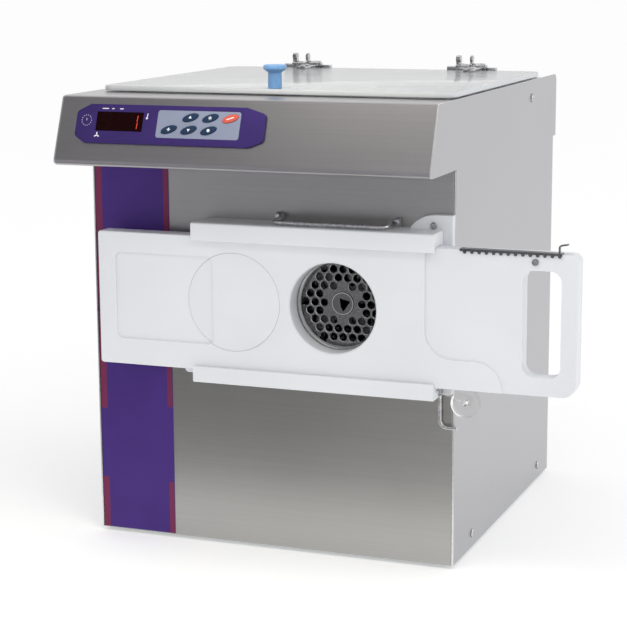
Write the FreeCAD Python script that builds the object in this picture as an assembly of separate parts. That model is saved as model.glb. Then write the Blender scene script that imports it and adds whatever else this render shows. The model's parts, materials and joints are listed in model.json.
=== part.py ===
import FreeCAD, Part
import math
import os

# Refrigerated meat grinder with a hand-slid portioning drawer.
# Cabinet frame: X from the cabinet's left side to its right, Y from the front panel into the
# machine, Z up from the cabinet's bottom edge. Sizes are in millimetres.

V = FreeCAD.Vector

# Cabinet
CAB_W = 400.0
CAB_D = 394.0
TOP_Z = 475.0
HEAD_H = 69.0
HEAD_Z = TOP_Z - HEAD_H
LIP_Y = -87.0
NOSE_TOP_Y = -60.0
REAR_OVERHANG = 12.0
HEAD_REAR = CAB_D + REAR_OVERHANG
REAR_DROP = 3.0
HEAD_DROP_Z = HEAD_Z - REAR_DROP
SHELF_DROP = 17.0
SHELF_Z = TOP_Z - SHELF_DROP
SHELF_W = 62.0
SHELF_Y = HEAD_REAR - SHELF_W
SHEET = 1.5
SEAM = 0.4
LIP_BEND = 5.0
NOSE_BEND = 4.0
REAR_BEND = 9.0
FLANGE = 22.0
PAN_H = 25.0
FOOT_H = 4.0
FOOT_R = 15.0
FOOT_INSET = 45.0

# Panel screws: places (Y, Z) on each side, X places on the rear, and the screw's size
LOW_SCREWS = ((68.0, 15.0), (CAB_D - 49.0, 16.0))
TAB_SCREW = (292.0, TOP_Z - 20.0)
REAR_SCREWS = (30.0, CAB_W - 30.0)
REAR_SCREW_Z = 14.0
PANEL_SCREW_R = 4.8
SCREW_R = 3.4
SCREW_HEAD = 2.0
SCREW_SHANK_R = 1.9
SCREW_LENGTH = 6.0

# Decorative film on the front panel
BAND_LEFT = 0.6
BAND_RIGHT = 88.0
FILM = 0.3

# Outlet and grinder, all on one axis along Y
OUT_X = 282.5
OUT_DROP = 208.5
OUT_Z = TOP_Z - OUT_DROP
BARREL_R = 51.0
BORE_R = 45.5
NOSE_R = 52.0
PLATE_R = 49.0
PLATE_T = 12.0
PLATE_Y = -5.0
HOLE_R = 4.0
HOLE_PITCH = 10.1
RING_FRONT = -14.5
RING_LENGTH = 36.5
RING_R = 56.0
RING_LIP_R = 42.5
RING_CHAMFER = 2.5
RING_GRIPS = 8
RUN_FIT = 0.05
BARREL_END = 150.0
BARREL_WALL = 10.0
JOURNAL_R = 11.9
REAR_JOURNAL_R = 15.0
SQUARE = 17.8
KNIFE_T = 12.0
KNIFE_HUB_R = 17.0
KNIFE_R = 46.0
FLIGHT_R = 44.0
FLIGHT_PITCH = 40.0
FLIGHT_TURNS = 2.75
CORE_FRONT_R = 15.0
CORE_REAR_R = 18.0
THROAT_R = 30.0
THROAT_WALL = 4.0
THROAT_Y = 80.0
NECK_Z = OUT_Z + 73.5

# Drive
GEARBOX_FRONT = BARREL_END + 10.0
GEARBOX_DEPTH = 44.0
GEARBOX_WALL = 6.0
COVER_T = 8.0
MODULE = 3.0
GEAR_TEETH = 40
PINION_TEETH = 12
GEAR_WIDTH = 18.0
GEAR_BACKLASH = 0.5
TANG_AF = 22.0
HUB_R = 24.0
HUB_END_R = 12.0
SHAFT_R = 9.0
MOTOR_R = 56.0
MOTOR_GAP = 32.0
MOTOR_FRONT = GEARBOX_FRONT + GEARBOX_DEPTH + COVER_T
MOTOR_LENGTH = CAB_D - MOTOR_GAP - MOTOR_FRONT
STAND_T = 2.5
SADDLE_T = 8.0

# Meat tray, lid and hinges
TRAY_L = 30.0
TRAY_R = CAB_W - 16.0
TRAY_F = 12.0
TRAY_B = SHELF_Y - 18.0
TRAY_TAPER = 12.0
TRAY_DEPTH = 38.0
TRAY_BOTTOM_Z = TOP_Z - TRAY_DEPTH
TRAY_T = 1.2
TRAY_RIM = 8.0
TRAY_CORNER = 24.0
LID_L = 16.0
LID_R = CAB_W - 2.0
LID_F = -8.0
LID_B = SHELF_Y - 5.0
LID_T = 5.0
LID_CORNER = 14.0
LID_EDGE = 0.6
LID_GAP = 0.3
KNOB_X = (LID_L + LID_R) / 2
KNOB_Y = LID_F + 12.0
KNOB_STEM_R = 6.9
KNOB_HEAD_R = 11.8
KNOB_HEAD_T = 8.0
KNOB_H = 24.0
KNOB_BOLT_R = 3.0
HINGE_XS = (77.5, CAB_W - 118.0)
HINGE_Y = SHELF_Y + 12.0
HINGE_Z = TOP_Z + 7.0
STUD_R = 3.0
WING_SPAN = 31.0
WING_START = 11.0
WING_T = 5.5
LOBE_R = 4.3
EAR_START = 28.0
STRAP_START = 31.3
STRAP_END = 45.0
STRAP_T = 2.5
STRAP_REACH = 30.0
STRAP_SCREW_R = 1.6
BARREL_OD = 13.0

# Control panel, in fascia coordinates: U along X, V up the slope, N out of it
BEZEL_U = (21.0, 227.0)
BEZEL_V = (24.6, 65.0)
BEZEL_T = 2.5
DISPLAY_U = (43.4, 95.2)
DISPLAY_V = (37.2, 57.2)
KEYPAD_U = (110.8, 200.8)
KEYPAD_V = (31.6, 60.4)
KEYPAD_T = 1.0
KEY_L = 17.4
KEY_W = 7.4
KEY_TILT = 18.0
KEY_PITCH = 21.5
KEY_ROWS = {"upper": (146.7, 53.2), "lower": (124.9, 40.4)}
KEY_TRAVEL = 0.6
KEY_GAP = 0.2
KEY_FLANGE = 0.8
KEY_PROUD = 0.9
LEDGE = 0.9

# Drawer block on the front
BLOCK_L = 131.0
BLOCK_R = CAB_W - 10.0
BLOCK_LOW = OUT_Z - 85.3
BLOCK_TOP = OUT_Z + 81.0
BLOCK_FRONT = -42.0
BOARD_T = 10.0
BOARD_R = CAB_W - 0.6
WEB_T = 5.0
LIP_T = 5.7
LIP_OVERLAP = 4.6
EAR_X = CAB_W - 19.0
EAR_R = 31.0
EAR_TOP = BLOCK_TOP + 14.2
EAR_SCREW = (EAR_X - 1.0, BLOCK_TOP + 4.0)
SLIDE_GAP = 0.4
DRAWER_FRONT = -36.0
DRAWER_T = 20.6
DRAWER_L = 22.5
DRAWER_R = 531.0
DRAWER_LOW = OUT_Z - 73.0
DRAWER_TOP = OUT_Z + 66.8
DRAWER_EDGE = 1.2
DRAWER_HOLE_R = 46.0
HANDLE_SLOT = (DRAWER_R - 54.0, DRAWER_R - 16.0, DRAWER_LOW + 18.0, DRAWER_TOP - 17.0)
SLOT_CORNER = 11.0
STEP_X = 379.0
STEP_DEPTH = 2.0
STEP_R = 28.0
STEP_MID_Z = DRAWER_LOW + 29.5
STEP_END_X = 458.0
DRAWER_TRAVEL = 107.5
MOULD_X = OUT_X - DRAWER_TRAVEL
MOULD_Z = OUT_Z
MOULD_LIP_R = 51.0
MOULD_R = MOULD_LIP_R + 2.5
MOULD_LIP = 5.0
DISC_T = 8.0
DISC_GAP = 0.3
RECESS = (DRAWER_L + 19.5, MOULD_X - 22.5, OUT_Z - 45.8, OUT_Z + 45.8)
RECESS_DEPTH = 2.2
RECESS_CORNER = 7.0
RACK_R = DRAWER_R - 16.0
RACK_L = BLOCK_R + 24.0
RACK_T = 1.3
RACK_PITCH = 7.2
RACK_DROP = 4.3
DRAWER_SCREW = (RACK_R - 26.0, DRAWER_TOP - 8.9)
WEAR_TONGUE = 14.0
WEAR_H = 4.6

# Carry handle, lock wire and support roller
BAIL_SPAN = 121.0
BAIL_RIGHT = EAR_X - EAR_R - 12.0
BAIL_LEFT = BAIL_RIGHT - BAIL_SPAN
BAIL_PIVOT_Y = -5.0
BAIL_PIVOT_Z = BLOCK_TOP + 6.0
LUG_R = 3.9
LUG_T = 4.0
BAIL_REACH = 27.0
BAIL_WIRE_R = 2.4
LOCK_X = BLOCK_R - 4.0
LOCK_Y = -5.0
LOCK_LOW = BLOCK_LOW - 35.2
LOCK_FOOT = 18.0
LOCK_WIRE_R = 2.0
ROLLER_X = BLOCK_R + 29.0
ROLLER_R = 14.5
ROLLER_W = 9.0
ROLLER_Y = -30.0
ROLLER_PIN_R = 2.2
ROLLER_EYE_R = 4.5

# Cooling unit
COMP_X = 95.0
COMP_R = 70.0
COMP_H = 165.0
STUBS = ((-30.0, 20.0), (20.0, 0.0))
COND_X = (20.0, 180.0)
COND_Z = (30.0, 200.0)
COND_Y = (CAB_D - 40.0, CAB_D - 8.0)
FIN_PITCH = 10.0
BEND_R = 9.0
BEND_PITCH = 36.0
FAN_X = (COND_X[0] + COND_X[1]) / 2
FAN_Z = (COND_Z[0] + COND_Z[1]) / 2
FAN_R = 66.0
FAN_HUB_R = 16.0
FAN_Y = COND_Y[0] - 30.0
COMP_Y = FAN_Y - 112.0
FAN_W = 18.0
FAN_BLADES = 5
TUBE_R = 4.0
COIL_X = (60.0, CAB_W - 50.0)
COIL_Y = 146.0
COIL_ROWS = 6
COIL_PITCH = 30.0
PAN_SLOT_X = (CAB_W / 2, CAB_W / 2 + 60.0)
SLOT_ROWS = 12
SLOT_PITCH = 13.0
GLAND_X = CAB_W - 70.0
GLAND_Z = 60.0
GLAND_R = 7.9
GLAND_BORE_R = 4.5

SLOPE = math.atan2(TOP_Z - HEAD_Z, NOSE_TOP_Y - LIP_Y)
LIP_FRONT = LIP_Y + LIP_BEND / math.tan(SLOPE / 2) - LIP_BEND

# The origin is under the middle of the whole object, on the standing surface
ORIGIN = V((DRAWER_R - SCREW_HEAD) / 2, (HEAD_REAR + LIP_FRONT) / 2, -FOOT_H)


def box(x0, x1, y0, y1, z0, z1):
    return Part.makeBox(x1 - x0, y1 - y0, z1 - z0, V(x0, y0, z0))


def cyl_x(x0, x1, y, z, r):
    return Part.makeCylinder(r, x1 - x0, V(x0, y, z), V(1, 0, 0))


def cyl_y(y0, y1, x, z, r):
    return Part.makeCylinder(r, y1 - y0, V(x, y0, z), V(0, 1, 0))


def cyl_z(z0, z1, x, y, r):
    return Part.makeCylinder(r, z1 - z0, V(x, y, z0), V(0, 0, 1))


def revolve_y(points, x, z):
    """Solid of revolution about the axis along Y at (x, z) from (radius, y) points."""
    corners = [V(x + r, y, z) for r, y in points]
    wire = Part.makePolygon(corners + corners[:1])
    return Part.Face(wire).revolve(V(x, 0, z), V(0, 1, 0), 360)


def revolve_z(points, x, y):
    """Solid of revolution about the upright axis at (x, y) from (radius, z) points."""
    corners = [V(x + r, y, z) for r, z in points]
    wire = Part.makePolygon(corners + corners[:1])
    return Part.Face(wire).revolve(V(x, y, 0), V(0, 0, 1), 360)


def prism(corners, direction):
    """Straight solid on a closed polygon of corners."""
    return Part.Face(Part.makePolygon(list(corners) + [corners[0]])).extrude(direction)


def bent_wire(corners, radii, closed=False):
    """Wire through the corners with a tangent arc of the given radius at each inner corner."""
    count = len(corners)
    if not isinstance(radii, (list, tuple)):
        radii = [radii] * count
    edges = []
    starts = []
    ends = []
    for i, corner in enumerate(corners):
        if not closed and i in (0, count - 1):
            starts.append(corner)
            ends.append(corner)
            continue
        back = (corners[i - 1] - corner).normalize()
        ahead = (corners[(i + 1) % count] - corner).normalize()
        half = back.getAngle(ahead) / 2
        reach = radii[i] / math.tan(half)
        starts.append(corner + back * reach)
        ends.append(corner + ahead * reach)
    for i in range(count):
        if (ends[i] - starts[i]).Length > 1e-6:
            bisector = ((starts[i] + ends[i]) / 2 - corners[i]).normalize()
            half = (starts[i] - corners[i]).getAngle(ends[i] - corners[i]) / 2
            middle = corners[i] + bisector * (radii[i] / math.sin(half) - radii[i])
            edges.append(Part.Arc(starts[i], middle, ends[i]).toShape())
        following = (i + 1) % count
        if i < count - 1 or closed:
            if (starts[following] - ends[i]).Length > 1e-6:
                edges.append(Part.LineSegment(ends[i], starts[following]).toShape())
    return Part.Wire(edges)


def rounded_plate(x0, x1, y0, y1, r, z0, thickness):
    """Flat plate with round corners, lying in the XY plane from z0 up."""
    corners = [V(x0, y0, z0), V(x1, y0, z0), V(x1, y1, z0), V(x0, y1, z0)]
    return Part.Face(bent_wire(corners, r, closed=True)).extrude(V(0, 0, thickness))


def front_plate(x0, x1, z0, z1, radii, y0, thickness):
    """Upright plate facing the front, with corner radii from lower left anticlockwise."""
    corners = [V(x0, y0, z0), V(x1, y0, z0), V(x1, y0, z1), V(x0, y0, z1)]
    return Part.Face(bent_wire(corners, radii, closed=True)).extrude(V(0, thickness, 0))


def folded_sheet(corners, radii, inward, length):
    """Folded sheet: an open path of outer corners in the YZ plane, thickened to one side."""
    outer = bent_wire(corners, radii)
    strip = outer.makeOffset2D(inward, 0, True, True)
    return strip.extrude(V(length, 0, 0))


def rod(corners, bend, r):
    """Round rod along a path of straight runs and tangent bends."""
    path = bent_wire(corners, bend) if len(corners) > 2 else Part.makePolygon(corners)
    heading = (corners[1] - corners[0]).normalize()
    section = Part.Wire(Part.makeCircle(r, corners[0], heading))
    return path.makePipeShell([section], True, False)


def fused(shapes):
    whole = shapes[0].fuse(shapes[1:])
    return whole.removeSplitter()


def slope_placement():
    """Fascia coordinates: U along X, V up the slope from the lip, N out of the fascia."""
    turn = FreeCAD.Rotation(V(1, 0, 0), math.degrees(SLOPE))
    return FreeCAD.Placement(V(0, LIP_Y, HEAD_Z), turn)


def on_slope(shape):
    moved = shape.copy()
    moved.Placement = slope_placement().multiply(moved.Placement)
    return moved


def save(name, shape):
    moved = shape.copy()
    moved.translate(V(0, 0, 0) - ORIGIN)
    moved.exportStep(os.path.join("parts", name + ".step"))


def side_panel(x0):
    """One sheet with the cabinet side and the nose profile."""
    outline = [
        V(x0, 0, 0),
        V(x0, CAB_D, 0),
        V(x0, CAB_D, HEAD_DROP_Z),
        V(x0, HEAD_REAR, HEAD_DROP_Z),
        V(x0, HEAD_REAR, TOP_Z),
        V(x0, NOSE_TOP_Y, TOP_Z),
        V(x0, LIP_Y, HEAD_Z),
        V(x0, 0, HEAD_Z),
    ]
    radii = [0.0] * len(outline)
    radii[4] = REAR_BEND
    radii[5] = NOSE_BEND
    radii[6] = LIP_BEND
    sheet = Part.Face(bent_wire(outline, radii, closed=True)).extrude(V(SHEET, 0, 0))
    for y, z in LOW_SCREWS + (TAB_SCREW,):
        sheet = sheet.cut(cyl_x(x0 - 1, x0 + SHEET + 1, y, z, SCREW_SHANK_R))
    return sheet


def front_panel():
    """Front sheet with returned side edges and the round cut-out for the ring nut."""
    low = SHEET + SEAM
    path = [
        V(low, FLANGE, 0),
        V(low, 0, 0),
        V(CAB_W - low, 0, 0),
        V(CAB_W - low, FLANGE, 0),
    ]
    strip = bent_wire(path, 2.0).makeOffset2D(-SHEET, 0, True, True)
    if strip.BoundBox.YMin < -0.1:
        strip = bent_wire(path, 2.0).makeOffset2D(SHEET, 0, True, True)
    panel = strip.extrude(V(0, 0, HEAD_Z - SEAM))
    notch = box(-1, CAB_W + 1, SHEET + 0.1, FLANGE + 1, -1, PAN_H + SEAM)
    return panel.cut(notch).cut(cyl_y(-1, SHEET + 1, OUT_X, OUT_Z, RING_R + 1.5))


def head_cover():
    """Nose underside, sloped fascia, deck and rear shelf, folded from one sheet."""
    low = SHEET
    path = [
        V(low, -SEAM, HEAD_Z),
        V(low, LIP_Y, HEAD_Z),
        V(low, NOSE_TOP_Y, TOP_Z),
        V(low, SHELF_Y, TOP_Z),
        V(low, SHELF_Y, SHELF_Z),
        V(low, HEAD_REAR, SHELF_Z),
        V(low, HEAD_REAR, HEAD_DROP_Z),
        V(low, CAB_D + SEAM, HEAD_DROP_Z),
    ]
    radii = [0.0, LIP_BEND, NOSE_BEND, 3.0, 3.0, REAR_BEND, 3.0, 0.0]
    cover = folded_sheet(path, radii, -SHEET, CAB_W - 2 * low)
    if cover.BoundBox.ZMax > TOP_Z + 0.1:
        cover = folded_sheet(path, radii, SHEET, CAB_W - 2 * low)
    opening = rounded_plate(TRAY_L - 2, TRAY_R + 2, TRAY_F - 2, TRAY_B + 2, TRAY_CORNER, SHELF_Z, 30)
    cover = cover.cut(opening)
    windows = [
        box(DISPLAY_U[0] + 2, DISPLAY_U[1] - 2, DISPLAY_V[0] + 2, DISPLAY_V[1] - 2, -4, 2),
        box(KEYPAD_U[0] + 2, KEYPAD_U[1] - 2, KEYPAD_V[0] + 1.5, KEYPAD_V[1] - 1.5, -4, 2),
    ]
    for window in windows:
        cover = cover.cut(on_slope(window))
    return fused([cover, screw_tab(low), screw_tab(CAB_W - low - SHEET)])


def screw_tab(x0):
    """Tab turned down from the deck's edge, which takes the upper side screw."""
    y, z = TAB_SCREW
    corners = [
        V(x0, y - 16, TOP_Z - SHEET),
        V(x0, y - 16, z - 10),
        V(x0, y + 16, z - 10),
        V(x0, y + 16, TOP_Z - SHEET),
    ]
    tab = Part.Face(bent_wire(corners, [0.0, 6.0, 6.0, 0.0], closed=True)).extrude(V(SHEET, 0, 0))
    return tab.cut(cyl_x(x0 - 1, x0 + SHEET + 1, y, z, SCREW_SHANK_R))


def rear_panel():
    """Rear sheet with two columns of air slots behind the condenser and the gland's hole."""
    edge = SHEET + SEAM
    y0 = CAB_D - SHEET
    panel = box(edge, CAB_W - edge, y0, CAB_D, SHEET, HEAD_DROP_Z - SEAM)
    slot_l = (COND_X[1] - COND_X[0]) / 2 - 14
    first = COND_Z[0] + 12
    for column in range(2):
        x = COND_X[0] + 8 + column * (slot_l + 12)
        for row in range(SLOT_ROWS):
            z = first + row * SLOT_PITCH
            slot = front_plate(x, x + slot_l, z - 2.5, z + 2.5, 2.49, y0 - 1, SHEET + 2)
            panel = panel.cut(slot)
    for x in REAR_SCREWS:
        panel = panel.cut(cyl_y(y0 - 1, CAB_D + 1, x, REAR_SCREW_Z, SCREW_SHANK_R))
    return panel.cut(cyl_y(y0 - 1, CAB_D + 1, GLAND_X, GLAND_Z, GLAND_R + RUN_FIT))


def base_pan():
    """Floor pan with turned-up front and rear edges and side edges that take the side screws."""
    edge = SHEET + RUN_FIT
    front = SHEET + SEAM
    back = CAB_D - SHEET - RUN_FIT
    outer = box(edge, CAB_W - edge, front, back, 0, PAN_H)
    inner = box(edge + SHEET, CAB_W - edge - SHEET, front + SHEET, back - SHEET, SHEET, PAN_H + 1)
    pan = outer.cut(inner)
    for y, z in LOW_SCREWS:
        pan = pan.cut(cyl_x(-1, CAB_W + 1, y, z, SCREW_SHANK_R))
    for x in REAR_SCREWS:
        pan = pan.cut(cyl_y(CAB_D / 2, CAB_D, x, REAR_SCREW_Z, SCREW_SHANK_R))
    for row in range(5):
        y = COMP_Y - 60 + row * 30
        slot = rounded_plate(*PAN_SLOT_X, y - 3, y + 3, 2.9, -1, SHEET + 2)
        pan = pan.cut(slot)
    for x in (FOOT_INSET, CAB_W - FOOT_INSET):
        for y in (FOOT_INSET, CAB_D - FOOT_INSET):
            pan = pan.cut(cyl_z(-1, SHEET + 1, x, y, SCREW_SHANK_R + 0.6))
    return pan


def rubber_feet():
    feet = []
    for x in (FOOT_INSET, CAB_W - FOOT_INSET):
        for y in (FOOT_INSET, CAB_D - FOOT_INSET):
            profile = [
                (0, -FOOT_H),
                (FOOT_R - 2, -FOOT_H),
                (FOOT_R - 1, -FOOT_H + 1),
                (FOOT_R, -1),
                (FOOT_R - 1, 0),
                (SCREW_SHANK_R + 0.5, 0),
                (SCREW_SHANK_R + 0.5, SHEET),
                (5, SHEET),
                (4, SHEET + 2),
                (0, SHEET + 2),
            ]
            feet.append(revolve_z(profile, x, y))
    return Part.makeCompound(feet)


def pan_head(x, y, z, direction, head_r=SCREW_R):
    """Pan-head screw whose head sits on the surface at the point and stands out along direction."""
    profile = [
        V(0, 0, -SCREW_LENGTH),
        V(SCREW_SHANK_R - 0.1, 0, -SCREW_LENGTH),
        V(SCREW_SHANK_R - 0.1, 0, 0),
        V(head_r, 0, 0),
        V(head_r, 0, SCREW_HEAD * 0.45),
        V(head_r * 0.9, 0, SCREW_HEAD * 0.75),
        V(head_r * 0.6, 0, SCREW_HEAD),
        V(0, 0, SCREW_HEAD),
    ]
    solid = Part.Face(Part.makePolygon(profile + profile[:1])).revolve(V(0, 0, 0), V(0, 0, 1), 360)
    slot = Part.makeBox(2 * head_r + 2, 1.0, 0.9, V(-head_r - 1, -0.5, SCREW_HEAD - 0.7))
    solid = solid.cut(slot)
    solid.Placement = FreeCAD.Placement(V(x, y, z), FreeCAD.Rotation(V(0, 0, 1), direction))
    return solid


def panel_screws():
    screws = []
    for y, z in LOW_SCREWS + (TAB_SCREW,):
        screws.append(pan_head(0, y, z, V(-1, 0, 0), PANEL_SCREW_R))
        screws.append(pan_head(CAB_W, y, z, V(1, 0, 0), PANEL_SCREW_R))
    for x in REAR_SCREWS:
        screws.append(pan_head(x, CAB_D, REAR_SCREW_Z, V(0, 1, 0), PANEL_SCREW_R))
    return Part.makeCompound(screws)


def decor_band():
    return front_plate(BAND_LEFT + SHEET + SEAM, BAND_RIGHT, 1.0, HEAD_Z - SEAM - 1, 0.2, -FILM, FILM)


def meat_tray():
    """Pressed tray: tapered walls, flat rim on the deck and a spigot at the feed hole."""
    rim = rounded_plate(
        TRAY_L - TRAY_RIM, TRAY_R + TRAY_RIM, TRAY_F - TRAY_RIM, TRAY_B + TRAY_RIM,
        TRAY_CORNER + TRAY_RIM, TOP_Z, TRAY_T,
    )

    def bowl(inset):
        top = [
            V(TRAY_L + inset, TRAY_F + inset, TOP_Z + TRAY_T),
            V(TRAY_R - inset, TRAY_F + inset, TOP_Z + TRAY_T),
            V(TRAY_R - inset, TRAY_B - inset, TOP_Z + TRAY_T),
            V(TRAY_L + inset, TRAY_B - inset, TOP_Z + TRAY_T),
        ]
        drop = TOP_Z + TRAY_T - TRAY_BOTTOM_Z - inset
        centre = V((TRAY_L + TRAY_R) / 2, (TRAY_F + TRAY_B) / 2, 0)
        low = []
        for corner in top:
            step_x = TRAY_TAPER if corner.x < centre.x else -TRAY_TAPER
            step_y = TRAY_TAPER if corner.y < centre.y else -TRAY_TAPER
            low.append(corner + V(step_x, step_y, -drop))
        r = TRAY_CORNER - inset
        return Part.makeLoft([bent_wire(top, r, closed=True), bent_wire(low, r, closed=True)], True)

    tray = fused([rim, bowl(0)]).cut(bowl(TRAY_T))
    spigot = cyl_z(TRAY_BOTTOM_Z - 6, TRAY_BOTTOM_Z + TRAY_T, OUT_X, THROAT_Y, THROAT_R - 0.4)
    tray = fused([tray, spigot])
    return tray.cut(cyl_z(TRAY_BOTTOM_Z - 8, TRAY_BOTTOM_Z + 4, OUT_X, THROAT_Y, THROAT_R - 2))


def feed_throat():
    """Tube that leads the meat from the tray down to the barrel's neck."""
    outer_r = THROAT_R + THROAT_WALL
    profile = [
        (THROAT_R, NECK_Z),
        (outer_r + 6, NECK_Z),
        (outer_r + 6, NECK_Z + 6),
        (outer_r, NECK_Z + 10),
        (outer_r, TRAY_BOTTOM_Z - 6),
        (outer_r + 5, TRAY_BOTTOM_Z - 3),
        (outer_r + 5, TRAY_BOTTOM_Z),
        (THROAT_R, TRAY_BOTTOM_Z),
    ]
    return revolve_z(profile, OUT_X, THROAT_Y)


def lid_z():
    return TOP_Z + TRAY_T + LID_GAP


def lid():
    """Clear plate with polished edges and holes for the strap screws and the knob's bolt."""
    z0 = lid_z()
    plate = rounded_plate(LID_L, LID_R, LID_F, LID_B, LID_CORNER, z0, LID_T)
    upper = [edge for edge in plate.Edges if edge.BoundBox.ZMin > z0 + LID_T - 0.1]
    plate = plate.makeFillet(LID_EDGE, upper)
    for x, y in strap_screw_places():
        plate = plate.cut(cyl_z(z0 - 1, z0 + LID_T + 1, x, y, STRAP_SCREW_R + RUN_FIT))
    return plate.cut(cyl_z(z0 - 1, z0 + LID_T + 1, KNOB_X, KNOB_Y, KNOB_BOLT_R + RUN_FIT))


def lid_knob():
    """Moulded lift knob: straight stem under a thick round head that tapers into it."""
    base = lid_z() + LID_T
    top = base + KNOB_H
    head = top - KNOB_HEAD_T
    profile = [
        (0, base - LID_T),
        (KNOB_BOLT_R, base - LID_T),
        (KNOB_BOLT_R, base),
        (KNOB_STEM_R + 0.3, base),
        (KNOB_STEM_R, head),
        (KNOB_HEAD_R - 0.9, head + 0.36 * KNOB_HEAD_T),
        (KNOB_HEAD_R, head + 0.48 * KNOB_HEAD_T),
        (KNOB_HEAD_R, top - 1.3),
        (KNOB_HEAD_R - 0.5, top - 0.4),
        (KNOB_HEAD_R - 1.6, top),
        (0, top),
    ]
    return revolve_z(profile, KNOB_X, KNOB_Y)


def hinge_straps():
    """Strap of each hinge: a plate on the lid, rolled round the stud."""
    straps = []
    top = lid_z() + LID_T
    for x in HINGE_XS:
        x0 = x + STRAP_START
        x1 = x + STRAP_END
        plate = rounded_plate(x0, x1, LID_B - STRAP_REACH, HINGE_Y, 3.0, top, STRAP_T)
        barrel = cyl_x(x0, x1, HINGE_Y, HINGE_Z, BARREL_OD / 2)
        strap = fused([plate, barrel])
        strap = strap.cut(cyl_x(x0 - 1, x1 + 1, HINGE_Y, HINGE_Z, STUD_R + RUN_FIT))
        for screw_x, y in strap_screw_places():
            strap = strap.cut(cyl_z(top - 1, top + STRAP_T + 1, screw_x, y, STRAP_SCREW_R + RUN_FIT))
        straps.append(strap)
    return Part.makeCompound(straps)


def lobed_ear(x0, x1, r_hub):
    """Ear with two round lobes, one above and one below the hinge axis."""
    reach = WING_SPAN / 2 - LOBE_R
    pieces = [cyl_x(x0, x1, HINGE_Y, HINGE_Z, r_hub)]
    for side in (-1, 1):
        pieces.append(cyl_x(x0, x1, HINGE_Y, HINGE_Z + side * reach, LOBE_R))
        pieces.append(box(x0, x1, HINGE_Y - 3.2, HINGE_Y + 3.2, *sorted((HINGE_Z, HINGE_Z + side * reach))))
    return fused(pieces)


def hinge_brackets():
    """Bracket of each hinge: foot plate on the shelf and an upright ear."""
    brackets = []
    for x in HINGE_XS:
        x0 = x + EAR_START
        x1 = x + STRAP_START - 0.3
        ear = lobed_ear(x0, x1, 8.0)
        web = box(x0, x1, HINGE_Y - 6, HINGE_Y + 6, SHELF_Z, HINGE_Z)
        foot = rounded_plate(x0 - 14, x1, HINGE_Y - 9, HINGE_Y + 9, 1.4, SHELF_Z, 2.5)
        bracket = fused([ear, web, foot])
        brackets.append(bracket.cut(cyl_x(x0 - 1, x1 + 1, HINGE_Y, HINGE_Z, STUD_R + RUN_FIT)))
    return Part.makeCompound(brackets)


def hinge_studs():
    """Stud of each hinge, with a flat spade head at its right end."""
    studs = []
    for x in HINGE_XS:
        end = x + STRAP_END + 0.3
        shank = cyl_x(x, end + 3, HINGE_Y, HINGE_Z, STUD_R)
        head = rounded_plate(end + 2, end + 14, HINGE_Y - 5, HINGE_Y + 5, 3.0, HINGE_Z - 1.7, 3.4)
        collar = cyl_x(end, end + 2, HINGE_Y, HINGE_Z, 4.6)
        studs.append(fused([shank, collar, head]))
    return Part.makeCompound(studs)


def wing_nuts():
    """Wing nut on each stud, clamped against the bracket's ear."""
    nuts = []
    for x in HINGE_XS:
        x0 = x + WING_START
        x1 = x + EAR_START
        wings = lobed_ear(x0, x0 + WING_T, 6.5)
        hub = Part.makeCone(6.5, 5.0, x1 - x0 - WING_T, V(x0 + WING_T, HINGE_Y, HINGE_Z), V(1, 0, 0))
        nut = fused([wings, hub])
        nuts.append(nut.cut(cyl_x(x0 - 1, x1 + 1, HINGE_Y, HINGE_Z, STUD_R + RUN_FIT)))
    return Part.makeCompound(nuts)


def strap_screw_places():
    middle = (STRAP_START + STRAP_END) / 2
    return [(x + middle, LID_B - back) for x in HINGE_XS for back in (8.0, 22.0)]


def strap_screws():
    """Two domed screws that hold each strap on the lid, with a nut under the lid."""
    under = lid_z()
    top = under + LID_T + STRAP_T
    screws = []
    for x, y in strap_screw_places():
        profile = [
            (0, under - 0.2),
            (STRAP_SCREW_R, under - 0.2),
            (STRAP_SCREW_R, top),
            (3.4, top),
            (3.1, top + 1.1),
            (1.9, top + 2.0),
            (0, top + 2.2),
        ]
        screws.append(revolve_z(profile, x, y))
    return Part.makeCompound(screws)


def control_bezel():
    """Purple panel with cropped corners, a display window and a pocket for the keypad."""
    u0, u1 = BEZEL_U
    v0, v1 = BEZEL_V
    outline = [
        V(u0 + 11, v0, 0),
        V(u1 - 15.5, v0, 0),
        V(u1, v0 + 6.4, 0),
        V(u1, v1 - 6.2, 0),
        V(u1 - 21, v1, 0),
        V(u0 + 14.4, v1, 0),
        V(u0, v1 - 8, 0),
        V(u0, v0 + 7, 0),
    ]
    plate = Part.Face(bent_wire(outline, 5.0, closed=True)).extrude(V(0, 0, BEZEL_T))
    plate = plate.cut(box(*DISPLAY_U, *DISPLAY_V, -1, BEZEL_T + 1))
    floor = BEZEL_T - KEYPAD_T
    pocket = rounded_plate(*KEYPAD_U, *KEYPAD_V, 3.0, floor, KEYPAD_T + 1)
    plate = plate.cut(pocket)
    left, right = KEYPAD_U[0] + LEDGE, KEYPAD_U[1] - LEDGE
    low, high = KEYPAD_V[0] + LEDGE, KEYPAD_V[1] - LEDGE
    well = rounded_plate(left, right, low, high, 2.0, -1, BEZEL_T)
    return on_slope(plate.cut(well))


def display_window():
    u0, u1 = DISPLAY_U[0] + 0.1, DISPLAY_U[1] - 0.1
    v0, v1 = DISPLAY_V[0] + 0.1, DISPLAY_V[1] - 0.1
    return on_slope(box(u0, u1, v0, v1, 0, BEZEL_T - 0.4))


def key_centres():
    """Places of the six keys, named from left to right in each row."""
    places = {}
    for row, (u, v) in KEY_ROWS.items():
        for i, side in enumerate(("left", "middle", "right")):
            places[f"key_{row}_{side}"] = (u + i * KEY_PITCH, v)
    return places


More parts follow.
